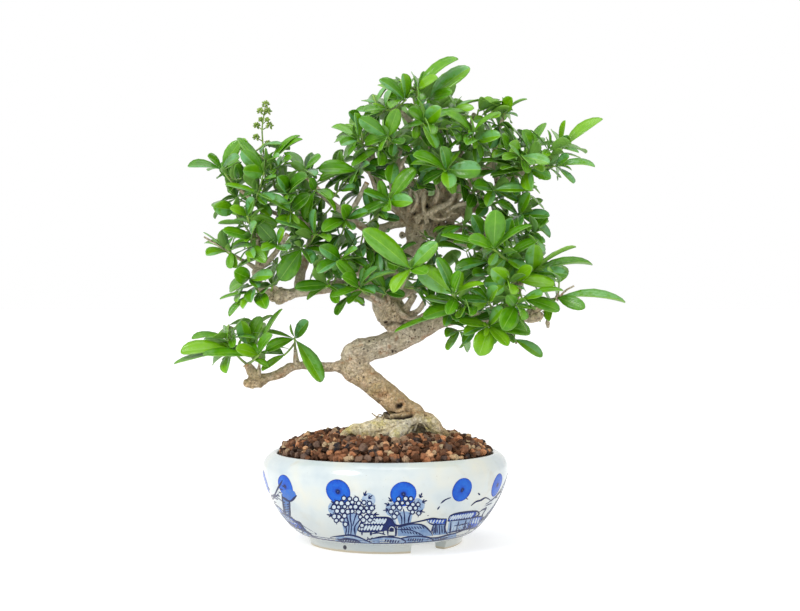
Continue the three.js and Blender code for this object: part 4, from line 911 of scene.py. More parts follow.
# The sprays: (name, the route it grows on, shoots), a shoot is (x, z, depth, leaves, slivers), and a leaf is
# (x, z, width): where its tip shows, and how wide the blade looks. A shoot with no leaves listed faces away
# from the front, and slivers show between the other leaves
sprays = [
    ("low_left_front", "lowLeftStub", [
        (-103, 152, -36, [(-149, 151, 9), (-94, 168, 8), (-122, 157, 9), (-111, 161, 8)], [(-84, 189, 3)]),
        (-112, 160, -12, [(-101, 183, 10), (-118, 180, 11), (-104, 162, 8)])]),
    ("low_left_outer", "lowLeftStub", [
        (-125, 156, -26, [(-167, 155, 8), (-172, 143, 7), (-142, 145, 6), (-147, 163, 9), (-131, 138, 6)]),
        (-129, 166, -18, [(-158, 166, 3), (-128, 174, 5), (-136, 167, 6)])]),
    ("low_left_inner", "lowLeftTwig", [
        (-74, 166, -12, [(-62, 179, 8), (-53, 129, 9), (-97, 156, 8)], [(-108, 170, 3)]),
        (-83, 151, -18, [(-99, 155, 7), (-100, 138, 7)])]),
    ("left_tip", "leftReach", [(-130, 236, -24, [(-146, 234, 5), (-149, 251, 2), (-110, 241, 5), (-124, 247, 4)],
        [(-147, 244, 3), (-108, 247, 4)])]),
    ("left_lower", "leftMid", [(-111, 214, -34, [(-124, 220, 13), (-92, 216, 9), (-127, 205, 9)], [(-104, 206, 5)]),
        (-103, 201, -32, [(-135, 197, 2), (-128, 184, 3), (-98, 191, 11)], [(-117, 191, 3)])]),
    ("left_heart", "leftInner", [(-68, 239, -30, [(-86, 213, 16), (-60, 228, 8), (-74, 245, 9)]),
        (-57, 250, -36, [(-89, 263, 7), (-57, 270, 6), (-79, 250, 6), (-50, 256, 7)], [(-46, 246, 5)])]),
    ("left_side", "leftPost", [(-109, 247, -32, [(-133, 253, 9), (-106, 259, 7)], [(-110, 262, 5)]),
        (-113, 266, -42, [(-89, 257, 11), (-107, 279, 8), (-126, 272, 6)]),
        (-124, 271, -32, [(-139, 272, 12), (-118, 262, 6)])]),
    ("left_stub", "leftCut", [
        (-88, 241, -40, [(-80, 236, 7), (-101, 238, 6), (-104, 259, 12)], [(-101, 245, 3), (-82, 255, 5)])]),
    ("left_bloom", "leftFar", [(-104, 284, -42, [(-131, 290, 6), (-78, 271, 9), (-118, 280, 7), (-92, 278, 6)]),
        (-99, 301, -38, [(-117, 318, 11), (-116, 302, 11), (-121, 328, 9), (-97, 318, 6)])]),
    ("left_high", "leftInner", [(-94, 308, -30, [(-69, 329, 6), (-71, 332, 6)], [(-88, 314, 4)]),
        (-87, 304, -24, [(-98, 302, 8), (-78, 312, 6), (-87, 290, 6)])]),
    ("left_far", "leftFar", [
        (-134, 304, -22, [(-118, 326, 10), (-161, 307, 6), (-119, 313, 9)], [(-145, 314, 5), (-144, 302, 3)]),
        (-117, 296, -20, [(-123, 307, 9), (-108, 306, 9), (-126, 290, 7), (-110, 290, 7)])]),
    ("left_right", "cutLong", [(-57, 286, -38, [(-65, 260, 8), (-45, 280, 8), (-62, 296, 7)], [(-41, 270, 4)]),
        (-67, 303, -28, [(-81, 317, 8), (-58, 299, 6)], [(-52, 313, 5), (-84, 306, 5)])]),
    ("left_centre", "leftInner", [(-79, 283, -42, [(-87, 297, 7), (-66, 298, 9), (-95, 284, 6), (-73, 292, 8)]),
        (-77, 268, -38, [(-62, 282, 10), (-90, 262, 6)], [(-66, 268, 5)])]),
    ("mid_left", "leftHigh", [
        (-32, 262, -34, [(-51, 254, 9), (-34, 273, 7), (-14, 268, 6)], [(-27, 253, 5), (-45, 268, 4)])]),
    ("mid_light", "crownLeft", [
        (-22, 301, -30, [(-54, 304, 11), (-54, 295, 6), (-49, 287, 6), (-26, 292, 6)], [(-14, 308, 5)])]),
    ("mid_pair", "leftHigh", [
        (4, 278, -40, [(-18, 284, 8), (-21, 266, 9), (21, 277, 11), (24, 304, 12)], [(3, 270, 5), (-12, 268, 5)])]),
    ("front_left", "leftSlant", [
        (-36, 229, -46, [(-53, 240, 10), (-55, 220, 8), (-44, 222, 8)], [(-23, 238, 4), (-20, 230, 4)])]),
    ("front_low", "frontLeft", [(-22, 207, -52,
        [(-40, 228, 8), (-34, 216, 7), (-43, 198, 7), (-9, 203, 6), (1, 201, 6)], [(-7, 223, 5), (8, 220, 4)])]),
    ("front_under", "leftMid", [(-46, 209, -34, [(-74, 206, 10), (-30, 200, 6)], [(-64, 197, 5)]),
        (-28, 200, -28, [(-39, 184, 6), (-18, 194, 6)])]),
    ("front_centre", "frontCentre", [
        (21, 222, -66, [(-19, 253, 17), (43, 243, 10), (6, 204, 8), (34, 217, 7)], [(26, 231, 4)])]),
    ("front_right", "trunkMiddle", [
        (64, 192, -50, [(32, 197, 8), (31, 182, 10), (62, 182, 7), (70, 186, 6), (82, 194, 8)]),
        (55, 201, -70, [(27, 223, 16), (61, 219, 7), (42, 231, 9)], [(80, 210, 5)]),
        (45, 184, -44, [(8, 169, 6), (50, 176, 7)])]),
    ("right_shoot", "rightLowUp", [
        (88, 238, -62, [(45, 248, 8), (90, 270, 16), (69, 247, 8), (119, 258, 6), (79, 232, 7)])]),
    ("right_round", "rightLowUp", [(100, 211, -62, [(88, 221, 13), (81, 211, 10), (104, 203, 8)]),
        (107, 213, -46, [(120, 223, 9), (138, 208, 8), (131, 215, 7), (113, 206, 7)])]),
    ("right_hang", "trunkMiddle", [
        (84, 175, -52, [(77, 152, 16), (100, 159, 9), (60, 178, 8), (119, 171, 12), (96, 190, 7)]),
        (106, 164, -36, [(128, 150, 8)], [(106, 172, 3)]),
        (59, 171, -26, [(52, 155, 7), (67, 155, 5)], [(50, 168, 4)])]),
    ("right_fan", "trunkMiddle", [(84, 196, -58, [(62, 196, 8), (91, 206, 8), (68, 190, 8), (70, 206, 7)]),
        (107, 192, -64, [(96, 173, 15), (100, 200, 9), (113, 182, 6)])]),
    ("right_tip", "rightEnd", [(141, 199, -32, [(196, 196, 8), (163, 190, 10), (137, 208, 6)], [(133, 180, 3)])]),
    ("right_level", "rightLowCut", [(112, 197, -58, [(142, 187, 8), (128, 200, 6), (120, 191, 6)], [(145, 205, 5)])]),
    ("right_olive", "rightLowUp", [
        (121, 219, -32, [(149, 217, 9), (122, 242, 14), (169, 228, 7), (138, 213, 8)], [(155, 241, 2)]),
        (97, 231, -34, [(124, 245, 7), (115, 220, 8), (90, 244, 6)], [(119, 231, 5)]),
        (84, 228, -26, [(57, 222, 8), (104, 228, 6), (62, 212, 8)], [(78, 236, 5)])]),
    ("right_pale", "rightMid", [(108, 247, -12, [(130, 244, 8), (124, 240, 6), (96, 240, 6)]),
        (100, 248, -22, [(103, 262, 10), (119, 256, 5)]),
        (78, 247, -20, [(72, 265, 10), (66, 256, 6), (70, 238, 6)])]),
    ("right_mid", "rightMid", [(110, 266, -16,
        [(134, 265, 8), (118, 284, 8), (92, 276, 7), (109, 257, 8), (135, 249, 8)], [(128, 278, 5)])]),
    ("right_mid_up", "farRight", [
        (88, 286, -28, [(115, 287, 9), (73, 290, 8), (83, 274, 8), (97, 276, 6)], [(108, 277, 5)])]),
    ("far_under", "farRight", [(117, 303, -26, [(118, 287, 8), (135, 295, 8), (86, 297, 7), (128, 303, 6)]),
        (106, 305, -30, [(77, 310, 4), (96, 302, 6)]),
        (110, 314, -42, [(134, 308, 9), (103, 324, 8), (118, 306, 6)], [(96, 312, 5)])]),
    ("far_tip", "farRight", [
        (140, 306, -18, [(171, 307, 7), (140, 297, 7), (150, 313, 7), (130, 300, 6)], [(153, 291, 4)]),
        (145, 321, -10, [(177, 345, 10), (149, 331, 10), (136, 334, 8)],
        [(164, 318, 5), (147, 343, 3), (158, 317, 4)])]),
    ("far_left", "farRight", [
        (118, 318, -20, [(113, 335, 8), (131, 341, 6), (127, 329, 10)], [(101, 338, 4), (108, 328, 5)]),
        (100, 318, -30, [(94, 331, 9), (110, 330, 7)], [(88, 314, 5)])]),
    ("crown_star", "crownRight", [(75, 326, -38, [(93, 331, 10), (67, 325, 6), (60, 326, 7)], [(82, 321, 5)]),
        (71, 333, -48, [(50, 350, 5), (94, 350, 5), (50, 317, 5)], [(68, 346, 3)])]),
    ("crown_heart", "crownMain", [(50, 302, -54,
        [(78, 303, 14), (52, 287, 11), (30, 292, 8), (23, 316, 7), (47, 321, 8), (59, 318, 8)], [(21, 309, 5)])]),
    ("crown_bright", "crownMain", [
        (32, 341, -48, [(45, 353, 12), (20, 352, 8), (14, 336, 7), (66, 351, 8), (38, 334, 7)]),
        (52, 336, -34, [(37, 338, 8), (60, 328, 6), (46, 326, 6)])]),
    ("crown_left", "crownFork", [(2, 330, -46, [(-21, 345, 11), (10, 353, 11), (-17, 325, 8), (-2, 319, 6)]),
        (-6, 320, -30, [(-4, 308, 7), (-27, 305, 8)], [(-16, 318, 5)])]),
    ("crown_edge", "crownLeftTop", [
        (-23, 327, -36, [(-36, 324, 8), (-43, 339, 6), (-41, 327, 7), (-33, 312, 8)], [(-24, 349, 4), (-22, 316, 5)]),
        (-20, 338, -20, [(-29, 350, 7), (-12, 349, 8), (-34, 333, 7)])]),
    ("crown_top_left", "crownMain", [(0, 352, -22, [(-17, 351, 7), (-19, 359, 4), (4, 366, 5)], [(-12, 358, 4)]),
        (17, 360, -30, [(-4, 377, 8), (1, 362, 8), (15, 381, 6)], [(-6, 372, 5), (4, 354, 4), (24, 379, 5)])]),
    ("crown_top", "crownTop", [(25, 368, -22, [(58, 395, 10), (42, 378, 9), (22, 381, 5)], [(29, 362, 5)]),
        (37, 360, -16, [(69, 386, 13), (58, 382, 12), (54, 366, 10)], [(27, 356, 5)])]),
    ("crown_right", "crownRight", [(82, 345, -22, [(93, 345, 7), (79, 352, 6), (72, 343, 6)]),
        (52, 350, -24, [(72, 353, 8), (61, 361, 5)], [(78, 360, 4)])]),
    ("crown_twig", "rightUp", [(97, 350, -16, [(104, 362, 8), (81, 361, 3), (115, 361, 2), (93, 356, 6)],
        [(95, 362, 3), (108, 347, 3), (103, 342, 5)])]),
    ("back_left_low", "backLeft", [(-44, 240, 50, []), (-66, 254, 56, [])]),
    ("back_left", "leftFar", [(-100, 272, 14, []), (-122, 280, 6, []), (-106, 300, 10, [])]),
    ("back_left_high", "leftInner", [(-72, 272, 24, []), (-86, 296, 14, []), (-58, 290, 24, [])]),
    ("back_low", "backLow", [(42, 216, 60, []), (60, 206, 50, []), (16, 214, 44, [])]),
    ("back_right_low", "backRightLow", [(90, 238, 60, []), (70, 248, 54, [])]),
    ("back_heart", "backCrown", [(26, 294, 56, []), (42, 306, 46, [])]),
    ("back_crown", "backCrown", [(2, 330, 54, []), (-20, 312, 40, []), (18, 336, 44, [])]),
    ("back_crown_high", "crownTop", [(24, 356, 14, []), (44, 352, 28, []), (36, 338, 34, [])]),
    ("back_right", "backRight", [(88, 316, 54, []), (70, 306, 50, []), (106, 300, 36, [])])]


stem = {"rootRadius": 1.25, "forkRadius": 0.85, "endRadius": 0.75, "fork": 0.55, "sag": 0.05,
    "rootRoom": 1.8, "forkRoom": 1.3, "fillerRoom": 0.8}
# Pairs of smaller leaves along the stems, and young ones at their ends
pairTwists = [0, 0.35, -0.35, 0.7, -0.7, 1, -1]
pairs = {"first": 7.5, "step": 8.5, "keepOff": 6, "lengths": (15, 25), "opening": 0.95, "width": 0.41,
    "twists": pairTwists}
youngPair = {"lengths": (8, 14), "opening": 0.35, "width": 0.34, "twists": [0, 0.5, -0.5, 1, -1]}
fillerPair = {"lengths": (17, 26), "opening": 1, "width": 0.43, "twists": pairTwists, "apart": 2}
# How young each kind of leaf looks, between two limits from 0 to 1
youths = {"source": (0.15, 0.15), "sliver": (0.4, 0.4), "pair": (0, 0.5), "young": (0.6, 1), "filler": (0, 0.35)}
# Leafy twigs between the sprays, (x, z, depth)
fillerShoots = [(-98, 232, -30), (-111, 239, -34), (-92, 208, -28), (-38, 286, -26), (-21, 284, -20), (-31, 294, -22),
    (-50, 266, -22), (-53, 279, -24), (-20, 242, -14), (-6, 236, -18), (-13, 228, -20), (-4, 247, -14), (7, 230, -22),
    (-40, 216, -22), (-53, 216, -22), (-36, 249, -24), (7, 310, -22), (16, 321, -24), (-6, 347, -14), (3, 351, -18),
    (12, 376, -14), (-10, 364, -14), (76, 352, -18), (88, 351, -20), (92, 339, -18), (133, 319, -26), (87, 274, -18),
    (98, 268, -18), (63, 257, -14), (52, 257, -16), (38, 244, -10), (24, 206, -26), (37, 194, -24), (85, 216, -32),
    (0, 203, -24), (142, 212, -34), (-112, 324, -20), (-99, 324, -22), (-126, 236, -30), (90, 302, -16),
    (104, 299, -18), (72, 284, -20), (45, 303, -14), (28, 290, -18), (-126, 166, -24), (-88, 246, -26),
    (-118, 206, -26), (-84, 222, -24), (60, 300, -20), (20, 300, -22), (112, 285, -20), (120, 250, -22),
    (66, 236, -20), (-14, 300, -20), (-60, 300, -18), (-78, 262, -20), (-30, 232, -24), (50, 330, -20),
    (30, 345, -18), (64, 345, -16), (108, 322, -22), (-66, 284, -20), (78, 318, -18), (102, 232, -26),
    (126, 232, -30), (-120, 300, 14), (-104, 280, 18), (-86, 300, 20), (-110, 250, 10), (-92, 226, 12),
    (-70, 250, 26), (-58, 280, 24), (-40, 300, 26), (-30, 260, 24), (-46, 230, 22), (-20, 330, 26), (0, 350, 28),
    (10, 310, 38), (22, 366, 22), (32, 330, 42), (44, 356, 34), (52, 306, 44), (60, 340, 38), (72, 290, 40),
    (84, 320, 34), (96, 346, 22), (106, 300, 30), (118, 320, 18), (130, 306, 12), (96, 262, 30), (112, 250, 24),
    (80, 236, 26), (100, 214, 16), (124, 214, 6), (62, 212, 20), (80, 190, 14), (104, 178, 6), (20, 280, 40),
    (-2, 276, 34), (40, 288, 44), (-128, 176, 6), (-110, 170, 8), (-10, 226, 28), (34, 218, 30)]

# Where the extra leaves may show from the front: inside these outlines, clear of these round gaps, and
# behind the gnarled head of the trunk
crownOutlines = [[(-160, 309), (-140, 313), (-133, 325), (-118, 331), (-102, 331), (-92, 326), (-80, 333), (-69, 331),
        (-62, 318), (-50, 312), (-36, 314), (-40, 330), (-43, 339), (-31, 346), (-27, 351), (-18, 360), (-5, 367),
        (-2, 377), (14, 380), (26, 378), (40, 389), (54, 396), (69, 384), (57, 363), (84, 361), (100, 362),
        (105, 352), (102, 340), (124, 336), (132, 340), (146, 339), (166, 340), (160, 318), (172, 306), (150, 296),
        (124, 292), (126, 281), (135, 268), (135, 250), (131, 240), (133, 231), (168, 229), (151, 219), (142, 208),
        (164, 200), (160, 188), (137, 184), (120, 174), (117, 168), (100, 158), (88, 151), (66, 150), (50, 154),
        (52, 172), (40, 180), (32, 190), (14, 199), (-16, 191), (-27, 195), (-38, 183), (-46, 197), (-62, 196),
        (-84, 204), (-97, 190), (-112, 190), (-126, 197), (-126, 222), (-146, 232), (-148, 246), (-136, 256),
        (-140, 270), (-134, 284), (-142, 292), (-136, 302)],
    [(-170, 142), (-162, 163), (-132, 172), (-118, 182), (-98, 184), (-84, 189), (-92, 174), (-62, 180), (-70, 165),
        (-52, 142), (-56, 130), (-76, 158), (-98, 139), (-112, 147), (-130, 141), (-150, 149)]]
openViews = [(55, 230, 10), (66, 233, 5), (10, 253, 5), (-2, 258, 4), (24, 195, 6), (64, 256, 4), (-83, 208, 5), (-68,
    222, 8), (-104, 229, 4), (-10, 262, 3), (88, 303, 3), (58, 319, 3), (-57, 288, 4), (-51, 282, 4), (-45, 276, 4),
    (-15, 291, 4), (-19, 283, 4), (-24, 275, 3), (-80, 249, 4), (-87, 241, 4), (-95, 232, 4), (-12, 300, 4), (-18,
    308, 3), (9, 297, 4), (14, 306, 4), (3, 304, 3)]
headView = {"centre": (38, 271), "half": (27, 15), "depth": 6}


def inOutline(x, z, outline):
    inside = False
    for (x1, z1), (x2, z2) in zip(outline, outline[1:] + outline[:1]):
        if (z1 > z) != (z2 > z) and x < (x2 - x1) * (z - z1) / (z2 - z1) + x1:
            inside = not inside
    return inside


def mayShow(leaf):
    for t, side in blades["edges"]:
        point = leaf.place(t, side)
        x, z = shownAt(point)
        if not any(inOutline(x, z, outline) for outline in crownOutlines):
            return False
        if any(math.hypot(x - gx, z - gz) < reach for gx, gz, reach in openViews):
            return False
        headX, headZ = ((p - c) / h for p, c, h in zip((x, z), headView["centre"], headView["half"]))
        if math.hypot(headX, headZ) < 1 and point.y < headView["depth"]:
            return False
    return True


def nearestOn(stations, point):
    best = None
    for (start, _), (end, _) in pairwise(stations):
        foot, share = geometry.intersect_point_line(point, start, end)
        foot = start.lerp(end, min(max(share, 0), 1))
        if best is None or (foot - point).length < (best - point).length:
            best = foot
    return best


def stemsOf(route, shoots):  # one root on the branch, and the other stems fork off the first
    ends = [seen(x, z, depth) for x, z, depth, *_ in shoots]
    root = nearestOn(stationsOf(route), ends[0])
    fork = root.lerp(ends[0], stem["fork"])
    return [((root if k == 0 else fork), end) for k, end in enumerate(ends)]


def sideways(way):  # two directions square to a way
    first = way.cross(Vector((0, 0, 1)))
    if first.length < 0.1:
        first = way.cross(Vector((1, 0, 0)))
    first.normalize()
    return first, way.cross(first)


def pairWays(base, way, turn, draw, rule):  # two opposite leaves at one place of a stem
    first, second = sideways(way)
    outward = base - hidden["treeAxis"]
    outward.z = 0
    outward.normalize()
    length = draw(*rule["lengths"])
    for half in (0, math.pi):
        ways = []
        for twist in rule["twists"]:
            angle = turn + half + twist
            across = first * math.cos(angle) + second * math.sin(angle)
            along = (way * math.cos(rule["opening"]) + across * math.sin(rule["opening"])).normalized()
            ways.append(leafUpwards(base, along, length * draw(*blades["play"]), outward, rule["width"]))
        yield [leaf for leaf in ways if mayShow(leaf)]


class Spray:
    def __init__(self, number, name, route, shoots):
        self.number = number  # its leaves' owners are numbered from a hundred times this
        self.name = name
        self.shoots = shoots
        self.stems = stemsOf(route, shoots)
        self.leaves = []  # (leaf, youth)
        self.fillers = []

    def bases(self):
        for (start, end), shoot in zip(self.stems, self.shoots):
            yield end + (start - end).normalized() * blades["rootDepth"], shoot

    def tryLeaf(self, crown, ways, owner, crowding, kind, draw):
        leaf = crown.grow(ways, owner, self.number, crowding)
        if leaf:
            low, high = youths[kind]
            self.leaves.append((leaf, draw(low, high) if high > low else low))


def leafCount(grown):
    return sum(len(spray.leaves) for spray in grown)


def growCrown():
    crown = Crown()
    for route in allRoutes.values():
        crown.addRods(stationsOf(route), -1)
    grown = [Spray(k, name, allRoutes[on], shoots) for k, (name, on, shoots) in enumerate(sprays)]
    for spray in grown:
        for k, (start, end) in enumerate(spray.stems):
            radius = stem["forkRoom"] if k else stem["rootRoom"]
            crown.addRods([(start, radius), (end, stem["forkRoom"])], spray.number)
    leafDraw, draw = seededDraw(90217), seededDraw(551)
    for spray in grown:
        for k, (base, (x, z, depth, tips, *_)) in enumerate(spray.bases()):
            allWays = [seenWays(base, tip, depth) for tip in tips] if tips else ringWays(base, leafDraw)
            for ways in allWays:
                spray.tryLeaf(crown, ways, spray.number * 100 + k, asInSource, "source", draw)
    print("leaves of the source:", leafCount(grown))
    for spray in grown:
        for k, (base, (x, z, depth, tips, *slivers)) in enumerate(spray.bases()):
            for tip in sum(slivers, []):
                ways = seenWays(base, tip, depth)
                spray.tryLeaf(crown, ways, spray.number * 100 + k, fillingIn, "sliver", draw)
    print("with the slivers:", leafCount(grown))
    for spray in grown:
        growPairs(crown, spray, spray.stems, draw)
    print("with the pairs:", leafCount(grown))
    for x, z, depth in fillerShoots:
        growFiller(crown, grown, seen(x, z, depth), draw)
    print("with the fillers:", leafCount(grown))
    return crown, grown


def growFiller(crown, grown, end, draw):  # a leafy twig from the nearest wood or stem
    k = crown.rodGaps(np.array([end]))[0].argmin()
    start, way = Vector(crown.rodStarts[k]), Vector(crown.rodWays[k])
    root = start + way * min(max((end - start).dot(way) / way.dot(way), 0), 1)
    nearest = min(grown, key=lambda spray: min((tip - end).length for _, tip in spray.stems))
    crown.addRods([(root, stem["fillerRoom"]), (end, stem["fillerRoom"])], nearest.number)
    nearest.fillers.append((root, end))
    owner = 100000 + 100 * len(crown.rods)
    way = (end - root).normalized()
    turn = draw(0, math.pi)
    for quarter in range(2):
        base = end - way * fillerPair["apart"] * quarter
        for ways in pairWays(base, way, turn + quarter * math.pi / 2, draw, fillerPair):
            nearest.tryLeaf(crown, ways, owner, fillingIn, "filler", draw)
    growPairs(crown, nearest, [(root, end)], draw, owner + 50)


def growPairs(crown, spray, stems, draw, firstOwner=None):
    for k, (start, end) in enumerate(stems):
        way = (end - start).normalized()
        owner = (spray.number * 100 if firstOwner is None else firstOwner) + k
        turn = draw(0, math.pi)
        for ways in pairWays(end, way, turn, draw, youngPair):
            spray.tryLeaf(crown, ways, owner, fillingIn, "young", draw)
        back = pairs["first"]
        while back < (end - start).length - pairs["keepOff"]:
            turn += math.pi / 2
            owner += 10
            for ways in pairWays(end - way * back, way, turn, draw, pairs):
                spray.tryLeaf(crown, ways, owner, fillingIn, "pair", draw)
            back += pairs["step"]


def stemMesh(start, end, first):
    sag = Vector((0, 0, -stem["sag"] * (end - start).length))
    radius = stem["rootRadius"] if first else stem["forkRadius"]
    stations = [(start, radius), (start.lerp(end, 0.5) + sag, (radius + stem["endRadius"]) / 2),
        (end, stem["endRadius"])]
    made = tubeAlong("stem", stations, bevel=1, steps=3)
    setValues(made, "under", 0)
    setValues(made, "youth", 0)
    reach = norm(placesOf(made) - np.array(fromTree @ start), axis=1) / ((end - start).length * mm)
    setValues(made, "tone", np.clip(reach, 0, 1))
    dress(made, stemFinish)
    return made


# Painted shade: leaves are darker in the crown's core and lighter outwards. Its middle and half sizes, and where the
# light begins
crownCore = {"centre": (0, 0, 250), "reach": (125, 62, 98), "shade": 0.5, "from": 0.4}
leafTones = {"tone": (0, 0.55), "youth": (0.3, 0.75)}


def leafMesh(leaf, youth, kinds, draw):
    middle = leaf.place(0.5, 0)
    share = Vector([(a - b) / c for a, b, c in zip(middle, crownCore["centre"], crownCore["reach"])]).length
    # a random tone, plus painted shade that darkens leaves towards the crown's core
    tone = draw(*leafTones["tone"]) + crownCore["shade"] * max(share - crownCore["from"], 0)
    kind = kinds[int(draw(0, len(kinds) - 0.001))]
    made = copyOf(kind, "leaf")
    made.hide_render = False
    made.data.transform(leaf.matrix())
    setValues(made, "tone", min(tone, 1))
    setValues(made, "youth", youth * draw(*leafTones["youth"]))
    dress(made, leafFinish)
    return made


def makeSprays(grown):
    kinds = [makeLeafKind(k, *bend) for k, bend in enumerate(leafShape["kinds"])]
    draw = seededDraw(7711)
    for spray in grown:
        parts = [stemMesh(start, end, k == 0) for k, (start, end) in enumerate(spray.stems)]
        parts += [stemMesh(start, end, False) for start, end in spray.fillers]
        parts += [leafMesh(leaf, youth, kinds, draw) for leaf, youth in spray.leaves]
        piece = joinAs("leafy_" + spray.name, parts)
        smooth(piece)
        handIn(piece, "spray_" + spray.name)
    drop(*kinds)


# The flower stem and its clusters of closed buds, as seen from the front
bloom = {
    "depth": -14,
    "stem": [(-106, 276), (-99, 290), (-98, 302), (-99, 314.5), (-100.2, 330), (-100.5, 340), (-99.2, 349),
        (-98, 357)],
    "clusters": [(-97.7, 358.6, 3.3), (-102, 353.2, 2.7), (-95.6, 353, 2.9), (-101.6, 346.2, 1.7), (-96.4, 346, 1.7),
        (-105, 341.3, 2.7), (-94.4, 341.3, 3), (-105.4, 331.8, 2.7), (-95.8, 326.4, 2.8)],
    "buds": 14, "budSize": (0.85, 0.85, 1.2), "budShoulder": 0.3, "budTip": (0.85, 0.85, 1.15),
    "budPlay": (-0.3, 0.3), "budReach": 0.74, "budLift": 0.3, "budTurn": 2.4,
    "clusterDepth": 4, "taper": 0.07, "stalk": (0.5, 0.4), "rise": -2.5, "stalkRise": 3.4,
}


def makeBloom():
    def place(x, z, depth):
        return seen(x, z + bloom["rise"], bloom["depth"] + depth)

    line = [(place(x, z, 0), 1 - bloom["taper"] * k) for k, (x, z) in enumerate(bloom["stem"])]
    parts = [tubeAlong("bloom_stem", line, bevel=1)]
    draw = seededDraw(404)
    bpy.ops.mesh.primitive_ico_sphere_add(subdivisions=2, radius=1)
    bud = bpy.context.object
    pick(bud, placesOf(bud)[:, 2] > bloom["budShoulder"])
    bpy.ops.transform.resize(value=bloom["budTip"], center_override=(0, 0, 0))
    editDone()
    for k, (x, z, size) in enumerate(bloom["clusters"]):
        depth = bloom["clusterDepth"] * math.cos(k * bloom["budTurn"]) if k else 0
        centre = place(x, z, depth)
        rootZ = z - bloom["stalkRise"]
        root = place(np.interp(rootZ, [row[1] for row in bloom["stem"]], [row[0] for row in bloom["stem"]]), rootZ, 0)
        parts.append(tubeAlong("bloom_stalk", list(zip((root, centre), bloom["stalk"])), bevel=0))
        for n in range(bloom["buds"]):
            height = 1 - 2 * (n + 0.5) / bloom["buds"]
            angle = bloom["budTurn"] * n + draw(*bloom["budPlay"])
            flat = math.sqrt(1 - height * height)
            way = Vector((flat * math.cos(angle), flat * math.sin(angle), bloom["budLift"] + height)).normalized()
            made = copyOf(bud, "bud")
            turn = way.to_track_quat("Z", "Y").to_matrix().to_4x4()
            where = Matrix.Translation(centre + way * size * bloom["budReach"])
            made.data.transform(fromTree @ where @ turn @ Matrix.Diagonal((*bloom["budSize"], 1)))
            parts.append(made)
    drop(bud)
    piece = joinAs("bloom", parts)
    smooth(piece)
    dress(piece, budFinish)
    handIn(piece, "flower_panicle")


# The gravel: a mound of baked grains that rises from the lip to the foot of the trunk
gravel = {
    "radius": 87.2, "edge": 73, "rise": 15.5, "trunkRise": 5, "trunkRiseWidth": 32, "trunkFoot": (6, 10),
    "drop": 3.2,  # how much lower the middle lies than in the source
    "spacing": 4.5, "sizes": (3.5, 6.2), "lift": (-1.6, 1.4), "looseStones": 420, "looseLift": (0.6, 3),
    "outermost": 84.2, "kinds": 7, "roughness": 0.16, "bevel": 0.23, "smoothUnder": 32,
    "jitters": (0.3, 1.3), "widths": (0.75, 1), "heights": (0.6, 0.9), "woodRoom": 0.3,
    "bedDrop": 1.4, "bedFrom": 65, "bedShade": 0.05,
}


def moundHeight(x, y):
    share = math.hypot(x, y) / gravel["radius"]
    toTrunk = math.hypot(x - gravel["trunkFoot"][0], y - gravel["trunkFoot"][1])
    mound = gravel["rise"] * (1 - share ** 4) - gravel["drop"] * (1 - share ** 2)
    return gravel["edge"] + mound + gravel["trunkRise"] * math.exp(-(toTrunk / gravel["trunkRiseWidth"]) ** 2)


def makeStoneKind(kind, draw):
    bpy.ops.mesh.primitive_cube_add(size=1)
    stone = named(bpy.context.object, f"stone_kind_{kind}")
    editAll()
    bpy.ops.mesh.bevel(offset=gravel["bevel"], segments=1, affect="EDGES")
    editDone()
    places = placesOf(stone)
    for place in places:
        place += [draw(-1, 1) * gravel["roughness"] for _ in range(3)]
    movePlaces(stone, places)
    smooth(stone, math.radians(gravel["smoothUnder"]))
    return stone


def makeGravel(crown):
    draw = seededDraw(40711)
    turnJitter, reachJitter = gravel["jitters"]
    kinds = [makeStoneKind(k, draw) for k in range(gravel["kinds"])]
    spots = []
    rings = int(gravel["outermost"] / gravel["spacing"]) + 1
    for ring in range(rings):
        radius = gravel["outermost"] * ring / (rings - 1)
        count = max(1, round(2 * math.pi * radius / gravel["spacing"]))
        for k in range(count):
            angle = 2 * math.pi * (k + draw(-turnJitter, turnJitter)) / count + ring
            reach = min(radius + draw(-reachJitter, reachJitter), gravel["outermost"])
            spots.append((reach * math.cos(angle), reach * math.sin(angle), draw(*gravel["lift"])))
    for _ in range(gravel["looseStones"]):
        reach = (gravel["outermost"] - 2) * math.sqrt(draw(0, 1))
        angle = draw(0, 2 * math.pi)
        spots.append((reach * math.cos(angle), reach * math.sin(angle), draw(*gravel["looseLift"])))
    stones = []
    for x, y, lift in spots:
        point = Vector((x, y, moundHeight(x, y) + lift))
        size = draw(*gravel["sizes"])
        turn = Matrix.Rotation(draw(0, 6.28), 4, Vector((draw(-1, 1), draw(-1, 1), draw(-1, 1))))
        spread = Matrix.Diagonal((size, size * draw(*gravel["widths"]), size * draw(*gravel["heights"]), 1))
        tone = draw(0, 1)
        if crown.rodGaps(np.array([point]))[0, crown.rodSprays == -1].min() < size * gravel["woodRoom"]:
            continue
        made = copyOf(kinds[int(draw(0, gravel["kinds"] - 0.001))], "stone")
        made.data.transform(fromTree @ Matrix.Translation(point) @ turn @ spread)
        setValues(made, "tone", tone)
        stones.append(made)
    print("stones:", len(stones))
    bed = copyOf(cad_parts["gravel"], "gravel_bed")
    bed.parent = None
    for key in [key for key in bed.keys() if key.startswith("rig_")]:
        del bed[key]
    finishWith(bed, "WELD", merge_threshold=0.01 * mm)
    places = placesOf(bed)
    share = np.hypot(places[:, 0] - potAxis.x, places[:, 1] - potAxis.y) / (gravel["radius"] * mm)
    lower = gravel["bedDrop"] + gravel["drop"] * np.clip(1 - share ** 2, 0, 1)
    places[:, 2] -= np.where(places[:, 2] > gravel["bedFrom"] * mm, lower * mm, 0)
    movePlaces(bed, places)
    # Painted shade: the bed, which shows in the gaps between the stones, takes a tone near the darkest
    setValues(bed, "tone", gravel["bedShade"])
    piece = joinAs("gravel_stones", [bed] + stones)
    dress(piece, stoneFinish)
    handIn(piece, "gravel")
    drop(*kinds)


